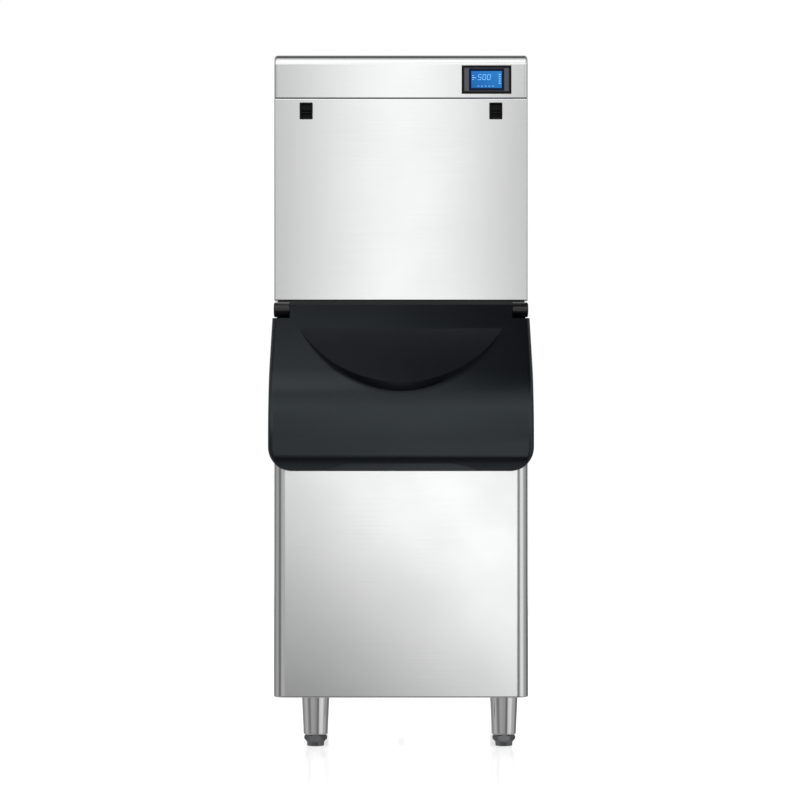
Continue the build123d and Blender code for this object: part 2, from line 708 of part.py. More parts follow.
def make_float_valve():
    """Inlet valve on the trough's rim, with two ears that hold the float arm."""
    half = 10.0
    body = block((X_FLOAT - half, X_FLOAT + half), (Y_PART - 30, Y_PART), (Z_TROUGH_TOP, Z_TROUGH_TOP + 22))
    body += rod((X_FLOAT, Y_PART, Z_TROUGH_TOP + 11), (X_FLOAT, Y_PART_BACK, Z_TROUGH_TOP + 11), LINE_R)
    for x in (X_FLOAT - half, X_FLOAT + half - EAR_T):
        body += block((x, x + EAR_T), (Y_ARM - 2 * ARM_PIN_R, Y_ARM + 2 * ARM_PIN_R),
                      (Z_ARM - 2 * ARM_PIN_R, Z_TROUGH_TOP))
    return body - rod((X_FLOAT - 2 * half, Y_ARM, Z_ARM), (X_FLOAT + 2 * half, Y_ARM, Z_ARM), ARM_PIN_R + PIN_GAP)


def make_float_arm():
    half = 10.0
    hub = rod((X_FLOAT - half, Y_ARM, Z_ARM), (X_FLOAT + half, Y_ARM, Z_ARM), ARM_PIN_R)
    inner = half - EAR_T - SLIDE_GAP
    hub += rod((X_FLOAT - inner, Y_ARM, Z_ARM), (X_FLOAT + inner, Y_ARM, Z_ARM), 1.8 * ARM_PIN_R)
    end_z = Z_ARM - FLOAT_R
    arm = across(
        [
            (Y_ARM, Z_ARM + ARM_PIN_R / 2), (Y_ARM, Z_ARM - ARM_PIN_R),
            (Y_ARM - FLOAT_ARM, end_z - ARM_PIN_R), (Y_ARM - FLOAT_ARM, end_z + ARM_PIN_R / 2),
        ],
        X_FLOAT - ARM_PIN_R / 2,
        X_FLOAT + ARM_PIN_R / 2,
    )
    ball = rod((X_FLOAT - FLOAT_R, Y_ARM - FLOAT_ARM, end_z), (X_FLOAT + FLOAT_R, Y_ARM - FLOAT_ARM, end_z),
               FLOAT_R)
    return hub + arm + ball


# Refrigeration side

Y_COMP = Y_BACK - COMP_BACK
Z_COMP = Z_PAN_TOP + MOUNT_H
Z_COND = Z_PAN_TOP + COND_UP
Y_COND_BACK = Y_REAR_PANEL - COND_BACK
Y_COND = Y_COND_BACK - COND_T
Z_FAN = Z_COND + COND_H / 2
Y_SHROUD = Y_COND
X_DISCHARGE = COMP_X + COMP_R * 0.55
X_SUCTION = COMP_X - COMP_R * 0.55


def make_compressor():
    """Hermetic shell: lower bowl, weld flange and dome, on a foot plate."""
    flange = COMP_H * 0.52
    profile = [
        (0, 8), (COMP_R * 0.72, 8), (COMP_R * 0.95, 26), (COMP_R * 0.95, flange), (COMP_R, flange),
        (COMP_R, flange + 8), (COMP_R * 0.95, flange + 8), (COMP_R * 0.93, COMP_H * 0.8),
        (COMP_R * 0.72, COMP_H * 0.95), (COMP_R * 0.35, COMP_H), (0, COMP_H),
    ]
    shell = turned([(r, Z_COMP + z) for r, z in profile], (COMP_X, Y_COMP, 0))
    half_x = MOUNT_SPAN_X / 2 + MOUNT_R
    half_y = MOUNT_SPAN_Y / 2 + MOUNT_R
    foot = block((COMP_X - half_x, COMP_X + half_x), (Y_COMP - half_y, Y_COMP + half_y), (Z_COMP, Z_COMP + 3))
    foot = fillet(foot.edges().filter_by(Axis.Z), MOUNT_R)
    for x, y in mount_places():
        foot -= rod((x, y, Z_COMP - 5), (x, y, Z_COMP + 8), MOUNT_HOLE)
    body = shell + foot + rod((COMP_X, Y_COMP, Z_COMP + 1), (COMP_X, Y_COMP, Z_COMP + 12), COMP_R * 0.7)
    body += block(
        (COMP_X - 26, COMP_X + 26),
        (Y_COMP - COMP_R - 20, Y_COMP - COMP_R * 0.8),
        (Z_COMP + 50, Z_COMP + 100),
    )
    return body


def mount_places():
    return [
        (COMP_X + a * MOUNT_SPAN_X / 2, Y_COMP + b * MOUNT_SPAN_Y / 2) for a in (-1, 1) for b in (-1, 1)
    ]


def make_compressor_mounts():
    """Four rubber feet, each with a neck that fills the hole in the foot plate."""
    grommets = []
    for x, y in mount_places():
        grommets.append(turned(
            [
                (0, Z_PAN_TOP), (MOUNT_R, Z_PAN_TOP), (MOUNT_R * 0.8, Z_COMP), (MOUNT_HOLE, Z_COMP),
                (MOUNT_HOLE, Z_COMP + 3), (MOUNT_R * 0.7, Z_COMP + 3), (MOUNT_R * 0.6, Z_COMP + 7),
                (0, Z_COMP + 7),
            ],
            (x, y, 0),
        ))
    return Compound(children=[g.solid() for g in grommets])


def make_condenser():
    """Finned block with end plates and return bends on one side."""
    low, high = COND_X - COND_W / 2, COND_X + COND_W / 2
    body = block((low, high), (Y_COND, Y_COND_BACK), (Z_COND, Z_COND + COND_H))
    pitch = (COND_W - FIN_T) / FIN_COUNT
    grooves = []
    for fin in range(FIN_COUNT):
        x = low + FIN_T + fin * pitch
        for y in ((Y_COND - FIN_T, Y_COND + FIN_DEEP), (Y_COND_BACK - FIN_DEEP, Y_COND_BACK + FIN_T)):
            grooves.append(block((x, x + pitch - FIN_T), y, (Z_COND + 2 * FIN_T, Z_COND + COND_H - 2 * FIN_T)))
    body -= grooves
    middle = (Y_COND + Y_COND_BACK) / 2
    for bend in range(3):
        z = Z_COND + COND_H * (bend + 0.6) / 3.2
        points = [(high, middle, z - 18), (high + 20, middle, z - 18), (high + 20, middle, z + 18),
                  (high, middle, z + 18)]
        body += bent_tube(points, LINE_R, 17.5)
    for z in (Z_COND + COND_H * 0.88, Z_COND + COND_H * 0.12):
        body += rod((low - 16, middle, z), (low, middle, z), LINE_R)
    return body + block((low, high), (Y_COND, Y_COND_BACK), (Z_PAN_TOP, Z_COND))


def make_fan_shroud():
    """Plate with a round collar for the blades and three arms that carry the motor."""
    low, high = COND_X - COND_W / 2, COND_X + COND_W / 2
    plate = block((low, high), (Y_SHROUD - SHROUD_T, Y_SHROUD), (Z_PAN_TOP, Z_COND + COND_H))
    bore = FAN_R + FAN_TIP_GAP
    front = Y_SHROUD - COLLAR_D
    plate += rod((COND_X, front, Z_FAN), (COND_X, Y_SHROUD, Z_FAN), bore + SHROUD_T)
    plate -= rod((COND_X, front - SHROUD_T, Z_FAN), (COND_X, Y_SHROUD + SHROUD_T, Z_FAN), bore)
    ring_front = Y_MOTOR_BACK - 2 * SHROUD_T
    ring = rod((COND_X, ring_front, Z_FAN), (COND_X, Y_MOTOR_BACK, Z_FAN), MOTOR_R + SHROUD_T)
    arms = []
    for arm in range(3):
        bar = block((-5, 5), (ring_front, front + SHROUD_T), (MOTOR_R, bore + SHROUD_T / 2))
        arms.append(Pos(COND_X, 0, Z_FAN) * Rot(0, 120 * arm, 0) * bar)
    ring = ring + arms
    ring -= rod((COND_X, ring_front - 1, Z_FAN), (COND_X, Y_MOTOR_BACK + 1, Z_FAN), MOTOR_R)
    inside = rod((COND_X, Y_MOTOR_BACK, Z_FAN), (COND_X, Y_SHROUD, Z_FAN), FAN_R + FAN_TIP_GAP)
    return plate + (ring - inside)


Y_HUB = Y_COND - HUB_T - 8.0
Y_MOTOR_BACK = Y_HUB - 6.0


def make_fan_motor():
    y = Y_MOTOR_BACK - MOTOR_L
    motor = rod((COND_X, y, Z_FAN), (COND_X, Y_MOTOR_BACK, Z_FAN), MOTOR_R)
    motor = chamfer(motor.edges().filter_by(GeomType.CIRCLE), 5)
    return motor + rod((COND_X, Y_MOTOR_BACK, Z_FAN), (COND_X, Y_HUB + HUB_T * 0.8, Z_FAN), SHAFT_R)


def make_fan_blade():
    """Hub with pitched blades, their tips trimmed round."""
    hub = rod((COND_X, Y_HUB, Z_FAN), (COND_X, Y_HUB + HUB_T, Z_FAN), HUB_R)
    chord = 70.0
    blades = []
    for number in range(FAN_BLADES):
        arc = ThreePointArc((-chord / 2, 0), (0, chord * 0.1), (chord / 2, 0))
        strip = make_face(arc + Line((chord / 2, 0), (chord / 2, -2)) + ThreePointArc(
            (chord / 2, -2), (0, chord * 0.1 - 2), (-chord / 2, -2)) + Line((-chord / 2, -2), (-chord / 2, 0)))
        blade = extrude(strip, FAN_R * 1.2)
        blade = Rot(0, 0, FAN_PITCH) * blade
        blade = Pos(COND_X, Y_HUB + HUB_T / 2, Z_FAN) * Rot(0, 360 / FAN_BLADES * number, 0) * blade
        blades.append(blade)
    disc = rod((COND_X, Y_HUB - 1, Z_FAN), (COND_X, Y_HUB + HUB_T + 1, Z_FAN), FAN_R)
    fan = hub
    for blade in blades:
        fan += blade & disc
    return fan - rod((COND_X, Y_HUB - 1, Z_FAN), (COND_X, Y_HUB + HUB_T * 0.8 + 1, Z_FAN), SHAFT_R + PIN_GAP)


X_DRIER = 60.0
Z_DRIER = Z_HEAD + 330.0
Y_VALVES = Y_PART_BACK + 26.0


def make_filter_drier():
    """Spun copper can on a clip behind the partition."""
    half = DRIER_L / 2
    can = revolve(make_face(Polyline(
        (-half - 14, 0, 0), (-half - 14, 0, LINE_R), (-half, 0, LINE_R), (-half + 14, 0, DRIER_R),
        (half - 14, 0, DRIER_R), (half, 0, LINE_R), (half + 14, 0, LINE_R), (half + 14, 0, 0), close=True,
    )), Axis.X)
    can = Pos(X_DRIER, Y_VALVES, Z_DRIER) * can
    return can + block((X_DRIER - 8, X_DRIER + 8), (Y_PART_BACK, Y_VALVES - DRIER_R / 2),
                       (Z_DRIER - DRIER_R / 2, Z_DRIER + DRIER_R / 2))


X_TXV = -40.0
Z_TXV = Z_DRIER


def make_expansion_valve():
    body = block((X_TXV - 13, X_TXV + 13), (Y_PART_BACK, Y_VALVES + 13), (Z_TXV - 13, Z_TXV + 13))
    body += turned([(0, 13), (9, 13), (9, 20), (20, 24), (20, 28), (9, 34), (0, 34)], (X_TXV, Y_VALVES, Z_TXV))
    return body + rod((X_TXV + 13, Y_VALVES, Z_TXV), (X_DRIER - DRIER_L / 2 - 14, Y_VALVES, Z_TXV), LINE_R)


X_GAS = -150.0
Z_GAS = Z_DRIER


def make_hot_gas_valve():
    body = block((X_GAS - 15, X_GAS + 15), (Y_PART_BACK, Y_VALVES + 15), (Z_GAS - 12, Z_GAS + 12))
    body += rod((X_GAS, Y_VALVES, Z_GAS + 12), (X_GAS, Y_VALVES, Z_GAS + 20), 8)
    body += fillet(
        block((X_GAS - 19, X_GAS + 19), (Y_VALVES - 16, Y_VALVES + 16), (Z_GAS + 20, Z_GAS + 56)).edges(), 3
    )
    return body + rod((X_GAS + 15, Y_VALVES, Z_GAS), (X_TXV - 13, Y_VALVES, Z_GAS), LINE_R)


def make_discharge_line():
    """From the compressor's dome up and over to the condenser's inlet."""
    middle = (Y_COND + Y_COND_BACK) / 2
    inlet = COND_X - COND_W / 2 - 16
    z = Z_COND + COND_H * 0.88
    top = Z_COMP + COMP_H + 30
    run = inlet - 30
    points = [(X_DISCHARGE, Y_COMP, Z_COMP + COMP_H * 0.94), (X_DISCHARGE, Y_COMP, top),
              (run, Y_COMP, top), (run, middle, top), (run, middle, z), (inlet, middle, z)]
    line = bent_tube(points, LINE_R, 14)
    return line - make_compressor()


def make_suction_line():
    """From the evaporator through the partition and down to the compressor."""
    z = Z_PASS_SUCTION
    x = X_PASS_SUCTION
    points = [(x, Y_PART + SHEET, z), (x, Y_VALVES + 34, z), (x, Y_VALVES + 34, z - 90),
              (X_SUCTION, Y_COMP, z - 90), (X_SUCTION, Y_COMP, Z_COMP + COMP_H * 0.9)]
    return bent_tube(points, SUCTION_R, 16) - make_compressor()


def make_liquid_line():
    """From the condenser's outlet up to the filter drier."""
    middle = (Y_COND + Y_COND_BACK) / 2
    outlet = COND_X - COND_W / 2 - 16
    z = Z_COND + COND_H * 0.12
    x = outlet - 14
    end = X_DRIER + DRIER_L / 2 + 14
    y = Y_VALVES
    points = [(outlet, middle, z), (x, middle, z), (x, Y_COMP - COMP_R - 50, z),
              (x, Y_COMP - COMP_R - 50, Z_DRIER - 50), (end + 26, Y_COMP - COMP_R - 50, Z_DRIER - 50),
              (end + 26, y, Z_DRIER - 50), (end + 26, y, Z_DRIER), (end, y, Z_DRIER)]
    return bent_tube(points, LINE_R, 12)


X_PASS_SUCTION = X_EVAP + CELL
Z_PASS_SUCTION = Z_EVAP_TOP - 2 * CELL
PASSAGES = [
    (X_PASS_SUCTION, Z_PASS_SUCTION, SUCTION_R + SLIDE_GAP),
    (X_DUMP, Z_DUMP, 2 * LINE_R + SLIDE_GAP),
    (X_FLOAT, Z_TROUGH_TOP + 11, LINE_R + SLIDE_GAP),
]


# Services

X_WATER = 60.0
Z_WATER = Z_HEAD + 350.0
X_POWER = -200.0
Z_POWER = Z_HEAD + 380.0
X_DRAIN_OUT = X_DUMP
Z_DRAIN_OUT = Z_HEAD + 60.0
WATER_R = 13.2
BOX_UP = 270.0          # electrical box above the head's underside
BOX_D = 190.0
GLAND_R = 12.0
SERVICES = [
    (X_WATER, Z_WATER, WATER_R * 0.8),
    (X_POWER, Z_POWER, GLAND_R * 0.8),
]


def make_electrical_box():
    """Folded box on the partition's front, in the right-hand corner behind the display."""
    x = (X_SUPPLY + 4 * LINE_R, X_HEAD - 2 * SHEET)
    z = (Z_HEAD + BOX_UP, Z_TOP - SKIRT - FLANGE)
    front = Y_PART - BOX_D
    box = block(x, (front, Y_PART), z)
    box = fillet(box.faces().sort_by(Axis.Y)[0].edges(), BEND_R)
    rim = SHEET + RETURN / 2
    return box + block((x[0] + rim, x[1] - rim), (front - BEND_R, front + SHEET), (z[0] + rim, z[1] - rim))


def make_dump_valve():
    """Solenoid valve that empties the trough, with its stub through the partition."""
    y = Y_PART_BACK
    valve = rod((X_DUMP, Y_PART, Z_DUMP), (X_DUMP, y + 4, Z_DUMP), 2 * LINE_R)
    valve += block((X_DUMP - 17, X_DUMP + 17), (y, y + 40), (Z_DUMP - 17, Z_DUMP + 17))
    valve += rod((X_DUMP, y + 20, Z_DUMP + 17), (X_DUMP, y + 20, Z_DUMP + 50), 14)
    return valve + rod((X_DUMP, y + 24, Z_PAN_TOP), (X_DUMP, y + 24, Z_DUMP - 17), 1.5 * LINE_R)


def make_water_inlet():
    """Hex union through the rear panel, with an open thread for the supply hose."""
    outer = Y_BACK - 2
    inner = Y_REAR_PANEL - SHEET
    body = rod((X_WATER, inner - 16, Z_WATER), (X_WATER, Y_REAR_PANEL, Z_WATER), WATER_R * 0.8)
    body += rod((X_WATER, Y_REAR_PANEL, Z_WATER), (X_WATER, outer, Z_WATER), WATER_R)
    hexagon = extrude(RegularPolygon(WATER_R * 1.35, 6), 6)
    body += Plane(origin=(X_WATER, Y_REAR_PANEL + 6, Z_WATER), z_dir=(0, -1, 0)) * hexagon
    return body - rod((X_WATER, inner - 20, Z_WATER), (X_WATER, outer + 1, Z_WATER), WATER_BORE)


WATER_BORE = 7.0


def make_power_gland():
    """Cable gland in the rear panel."""
    y = Y_REAR_PANEL
    body = rod((X_POWER, y - 14, Z_POWER), (X_POWER, y, Z_POWER), GLAND_R * 0.8)
    hexagon = extrude(RegularPolygon(GLAND_R * 1.25, 6), 8)
    body += Plane(origin=(X_POWER, y + 8, Z_POWER), z_dir=(0, -1, 0)) * hexagon
    dome = rod((X_POWER, y + 8, Z_POWER), (X_POWER, y + 18, Z_POWER), GLAND_R)
    dome = fillet(dome.edges().filter_by(GeomType.CIRCLE).sort_by(Axis.Y)[-1], 3)
    return body + dome - rod((X_POWER, y - 15, Z_POWER), (X_POWER, y + 20, Z_POWER), GLAND_BORE)


GLAND_BORE = 5.0


# Bin

LEGS = {
    "front_left": (FRONT_LEFT_X, Y_BIN + LEG_INSET),
    "front_right": (FRONT_RIGHT_X, Y_BIN + LEG_INSET),
    "rear_left": (REAR_LEFT_X, Y_BACK - LEG_INSET),
    "rear_right": (REAR_RIGHT_X, Y_BACK - LEG_INSET),
}


def bin_plan(inset, corner):
    """Plan of the bin with its two front corners rounded."""
    width = 2 * (X_BIN - inset)
    depth = Y_BACK - Y_BIN - 2 * inset
    plan = Pos(0, (Y_BACK + Y_BIN) / 2) * Rectangle(width, depth)
    return fillet(plan.vertices().group_by(Axis.Y)[0], corner)


def make_bin_wrap():
    """Front and two sides folded from one sheet, with a lip turned in at the bottom."""
    outer = upright(bin_plan(0, BIN_CORNER_R), Z_BIN, Z_RIM)
    bottom_edges = outer.faces().sort_by(Axis.Z)[0].edges().filter_by(lambda e: e.center().Y < Y_BACK - 1)
    outer = fillet(bottom_edges, BEND_R)
    inner = upright(bin_plan(SHEET, BIN_CORNER_R - SHEET), Z_BIN + SHEET, Z_RIM + SHEET)
    wrap = outer - inner
    wrap -= upright(bin_plan(SHEET + BIN_LIP, BIN_CORNER_R - SHEET), Z_BIN - SHEET, Z_BIN + 2 * SHEET)
    wrap -= block((-X_BIN, X_BIN), (Y_BACK - SHEET, Y_BACK + SHEET), (Z_BIN - SHEET, Z_RIM + SHEET))
    for x, y in LEGS.values():
        wrap -= rod((x, y, Z_BIN - SHEET), (x, y, Z_BIN + SHEET), LEG_TOP_R + SEAT_GAP)
    return wrap - mouth_cut()


def mouth_cut():
    """What is open ahead of the bin's slanted side edges."""
    low = (SLANT_LOW.Y, SLANT_LOW.Z)
    top = (SLANT_TOP.Y, SLANT_TOP.Z)
    ahead = Y_BIN - BIN_STEP
    return across(
        [low, top, (top[0], Z_RIM + BIN_STEP), (ahead, Z_RIM + BIN_STEP), (ahead, low[1])], -X_HEAD, X_HEAD
    )


def make_bin_back():
    side = X_BIN - SHEET
    panel = block((-side, side), (Y_BACK - SHEET, Y_BACK), (Z_BIN, Z_RIM))
    for edge in (-side, side - SHEET):
        panel += block((edge, edge + SHEET), (Y_BACK - BIN_LIP, Y_BACK), (Z_FLOOR, Z_RIM - LINER_T))
    return panel


def make_bin_base():
    plan = bin_plan(2 * SHEET, BIN_CORNER_R - 2 * SHEET)
    base = upright(plan, Z_BIN + SHEET, Z_FLOOR)
    return base - rod((0, Y_DRAIN, Z_BIN), (0, Y_DRAIN, Z_FLOOR + SHEET), DRAIN_R + SLIDE_GAP)


Z_FLOOR = Z_BIN + 2 * SHEET
Z_TUB = Z_FLOOR + FLOOR_FOAM
Y_DRAIN = Y_BACK - 90.0
X_TUB = X_BIN - SHEET - FOAM_T
Y_TUB = (Y_BIN + SHEET + FOAM_T, Y_BACK - SHEET - FOAM_T)


def tub(inset, top):
    """The rounded body of the liner, outside or inside."""
    side = X_TUB - inset
    body = block((-side, side), (Y_TUB[0] + inset, Y_TUB[1] - inset), (Z_TUB + inset, top))
    body = fillet(body.edges().filter_by(Axis.Z), LINER_R - inset)
    return fillet(body.faces().sort_by(Axis.Z)[0].edges(), LINER_R * 0.8 - inset)


def make_bin_liner():
    """Moulded tub with a flange that covers the foam at the rim, and a drain hole."""
    shell = tub(0, Z_RIM)
    side = X_BIN - SHEET
    shell += block((-side, side), (Y_HEAD, Y_BACK - SHEET), (Z_RIM - LINER_T, Z_RIM))
    shell -= tub(LINER_T, Z_RIM + LINER_T)
    shell -= mouth_cut()
    return shell - rod((0, Y_DRAIN, Z_TUB - LINER_T), (0, Y_DRAIN, Z_TUB + 2 * LINER_T), DRAIN_R + SLIDE_GAP)


def make_bin_foam():
    """Foam between the wrap and the liner."""
    foam = upright(bin_plan(SHEET, BIN_CORNER_R - SHEET), Z_FLOOR, Z_RIM - LINER_T)
    foam -= block((-X_BIN, X_BIN), (Y_BACK - SHEET - BIN_LIP, Y_BACK), (Z_BIN, Z_RIM))
    foam -= tub(0, Z_RIM + LINER_T)
    foam -= mouth_cut()
    return foam - rod((0, Y_DRAIN, Z_BIN), (0, Y_DRAIN, Z_TUB + LINER_T), DRAIN_R + SLIDE_GAP)


def make_door_frame():
    """Moulded trim round the slanted mouth, with the header under the head's front."""
    header_low = Z_RIM - HEADER_H - MOUTH_TOP
    at_header = SLANT_LOW + SLANT_UP * ((header_low - SLANT_LOW.Z) / SLANT_UP.Z)
    plate = across([slant_point(0, 0), slant_point(SLANT_L, 0), slant_point(SLANT_L, TRIM_T), slant_point(0, TRIM_T)],
                   -X_BIN, X_BIN)
    low = SLANT_L * MOUTH_START
    inner = X_TUB - LINER_T
    high = (header_low - SLANT_LOW.Z) / SLANT_UP.Z
    opening = across([slant_point(low, -TRIM_T), slant_point(high, -TRIM_T), slant_point(high, 2 * TRIM_T),
                      slant_point(low, 2 * TRIM_T)], -inner, inner)
    plate -= opening
    plate += block((-X_BIN, X_BIN), (Y_HEAD - TRIM_FACE, Y_HEAD), (SLANT_TOP.Z, Z_RIM))
    plate += across(
        [
            (at_header.Y, at_header.Z), (SLANT_TOP.Y, SLANT_TOP.Z), (Y_HEAD, Z_RIM),
            (Y_HEAD + HEADER_D, Z_RIM), (Y_HEAD + HEADER_D, header_low),
        ],
        -inner + SEAT_GAP,
        inner - SEAT_GAP,
    )
    start = X_HEAD - KNUCKLE_L - NOTCH_GAP
    relief = rod((start, Y_HINGE, Z_HINGE), (HEAD_W, Y_HINGE, Z_HINGE), KNUCKLE_R + SEAT_GAP)
    swing = math.hypot(BOSS_R, HINGE_DOWN + DOOR_OVER) + SEAT_GAP
    swept = rod((-start, Y_HINGE, Z_HINGE), (start, Y_HINGE, Z_HINGE), swing)
    return plate - relief - mirrored(relief) - swept


MOUTH_START = ((FOAM_T + LINER_T + SHEET) / BIN_STEP)


def make_hinge_bracket():
    """Right-hand bracket: a knuckle with a stub pin, on a block fixed to the header."""
    end = X_HEAD
    start = end - KNUCKLE_L
    knuckle = rod((start, Y_HINGE, Z_HINGE), (end, Y_HINGE, Z_HINGE), KNUCKLE_R)
    knuckle = fillet(knuckle.edges().filter_by(GeomType.CIRCLE).sort_by(Axis.X)[-1], 4)
    web = block(
        (start, X_BIN - SHEET),
        (Y_HINGE, Y_HEAD - TRIM_FACE),
        (slant_point(SLANT_L, TRIM_T)[1] + SEAT_GAP, Z_RIM),
    )
    pin = rod((start - HINGE_PIN_L, Y_HINGE, Z_HINGE), (start, Y_HINGE, Z_HINGE), HINGE_PIN_R)
    return knuckle + web + pin


def make_bin_drain():
    """Flanged outlet in the tub's floor, with an elbow to the back."""
    top = Z_TUB + LINER_T
    flange = turned([(0, top), (DRAIN_R + 8, top), (DRAIN_R + 6, top + 2), (0, top + 2)], (0, Y_DRAIN, 0))
    low = Z_BIN - 30
    bend = 2 * DRAIN_R
    pipe = bent_tube([(0, Y_DRAIN, top + 1), (0, Y_DRAIN, low), (0, Y_BACK - 4, low)], DRAIN_R, bend)
    bore = bent_tube([(0, Y_DRAIN, top + 4), (0, Y_DRAIN, low), (0, Y_BACK - 2, low)], DRAIN_R - DRAIN_WALL, bend)
    return flange + pipe - bore


# Door

DOOR_A = math.radians(DOOR_SLOPE)
BULGE_F = DOOR_REACH - DOOR_BULGE_R
ARC_F = BULGE_F + DOOR_BULGE_R * math.cos(DOOR_A)
ARC_Z = Z_DOOR_TOP - (ARC_F - DOOR_TOP_F) / math.tan(DOOR_A)
BULGE_Z = ARC_Z - DOOR_BULGE_R * math.sin(DOOR_A)
ROLL_F = DOOR_REACH - DOOR_ROLL_R
ROLL_Z = Z_DOOR_LOW + DOOR_ROLL_R
DOOR_HALF = X_BIN + DOOR_PAST
DOOR_TOP_HALF = DOOR_HALF - DOOR_TAPER


def skin_f(z, inset=0.0):
    """How far the door's straight upper skin stands ahead of the head front at a height."""
    f = ARC_F - inset * math.cos(DOOR_A)
    z0 = ARC_Z - inset * math.sin(DOOR_A)
    return f - (z - z0) * math.tan(DOOR_A)


def door_side(inset, back, roll):
    """The door's side outline, inset from its skin, closed by (forward, height) points behind."""
    def at(f, z):
        return (-HEAD_W, Y_HEAD - f, z)
    top = Z_DOOR_TOP - inset
    low = Z_DOOR_LOW + inset
    reach = DOOR_REACH - inset
    bulge = DOOR_BULGE_R - inset
    arc_start = at(BULGE_F + bulge * math.cos(DOOR_A), BULGE_Z + bulge * math.sin(DOOR_A))
    arc_middle = at(BULGE_F + bulge * math.cos(DOOR_A / 2), BULGE_Z + bulge * math.sin(DOOR_A / 2))
    arc_end = at(reach, BULGE_Z)
    start = at(skin_f(top, inset), top)
    outline = Line(start, arc_start) + ThreePointArc(arc_start, arc_middle, arc_end)
    if roll:
        turn = math.radians(45)
        centre_f = reach - roll
        centre_z = low + roll
        middle = at(centre_f + roll * math.cos(turn), centre_z - roll * math.sin(turn))
        outline += Line(arc_end, at(reach, centre_z))
        outline += ThreePointArc(at(reach, centre_z), middle, at(centre_f, low))
        outline += Polyline(at(centre_f, low), *[at(f, z) for f, z in back], start)
    else:
        outline += Polyline(arc_end, at(reach, low), *[at(f, z) for f, z in back], start)
    return extrude(make_face(outline), 2 * HEAD_W, dir=(1, 0, 0))


def door_front(inset, low, corner):
    """The door's front outline as a prism from front to back."""
    top = Z_DOOR_TOP + 20
    middle = ARC_Z
    spread = (DOOR_HALF - DOOR_TOP_HALF) / (Z_DOOR_TOP - middle)
    top_half = DOOR_TOP_HALF - spread * 20 - inset
    half = DOOR_HALF - inset
    face = make_face(Polyline(
        (-top_half, top), (top_half, top), (half, middle), (half, low), (-half, low), (-half, middle),
        close=True,
    ))
    if corner:
        face = fillet(face.vertices().group_by(Axis.Y)[0], corner)
    return extrude(Plane.XZ.offset(-Y_BACK) * face, DEPTH)


def back_line(out):
    """Back boundary of the door parallel to the bin's mouth, as (forward, height) points."""
    low = slant_point(0, out)
    top = slant_point(SLANT_L, out)
    return (Y_HEAD - low[0], low[1]), (Y_HEAD - top[0], top[1])


def door_form(inset, back):
    """The door's form with a rounded rim, inset from its skin, without its raised field."""
    form = door_side(inset, back, 0) & door_front(inset, Z_DOOR_LOW + inset, DOOR_CORNER_R - inset)
    rim = [edge for edge in form.edges() if on_rim(edge, inset)]
    return fillet(rim, DOOR_EDGE_R - inset) & door_side(inset, back, DOOR_ROLL_R - inset)


def on_rim(edge, inset):
    """Whether an edge lies between the skin and the door's sides or bottom."""
    middle = edge @ 0.5
    crossing = abs(middle.X) < 1 and middle.Z > Z_DOOR_LOW + inset + 1
    return not crossing and all(on_skin(point, inset) for point in (edge @ 0, middle, edge @ 1))


def on_skin(point, inset):
    """Whether a point lies on the inset skin, on its straight, bulging or upright part."""
    f = Y_HEAD - point.Y
    if point.Z > ARC_Z - inset:
        away = f - skin_f(point.Z, inset)
    elif point.Z > BULGE_Z:
        away = math.hypot(f - BULGE_F, point.Z - BULGE_Z) - DOOR_BULGE_R + inset
    else:
        away = f - DOOR_REACH + inset
    return abs(away) < 0.1


VISOR_F = skin_f(Z_RIM - VISOR_DOWN)
VISOR_TOP = Vector(0, Y_HEAD - VISOR_F, Z_RIM - VISOR_DOWN)


def visor_lip():
    """The lowest point of the raised field: over the bulge, out by the step."""
    z = Z_RIM - VISOR_LIP
    foot_z = z - VISOR_STEP * 0.7
    sine = (foot_z - BULGE_Z) / DOOR_BULGE_R
    foot_f = BULGE_F + DOOR_BULGE_R * math.sqrt(1 - sine * sine)
    return Vector(0, Y_HEAD - foot_f - VISOR_STEP * 0.7, z)


def make_visor(inset):
    """Flat raised field with a curved lower edge, sloping out of the door's upper skin."""
    lip = visor_lip()
    down = (lip - VISOR_TOP).normalized()
    length = (lip - VISOR_TOP).length
    out = Vector(0, down.Z, -down.Y)
    plane = Plane(origin=VISOR_TOP - out * inset, x_dir=(1, 0, 0), z_dir=out)
    upward = 1 if plane.y_dir.Z > 0 else -1
    drop = VISOR_LIP - VISOR_DOWN
    half = math.sqrt(VISOR_R ** 2 - (VISOR_R - drop) ** 2)
    angle = math.atan2(half, VISOR_R - drop)
    points = []
    for step in range(1, 6):
        turn = -angle + step * angle / 3
        fall = VISOR_R * math.cos(turn) - (VISOR_R - drop)
        x = (VISOR_R - inset) * math.sin(turn)
        points.append((x, -upward * (fall * length / drop - inset)))
    edge = Spline((-half + inset, 0), *points, (half - inset, 0))
    face = make_face(edge + Line(edge @ 1, edge @ 0))
    return extrude(plane * face, -(VISOR_STEP + 2), dir=out)


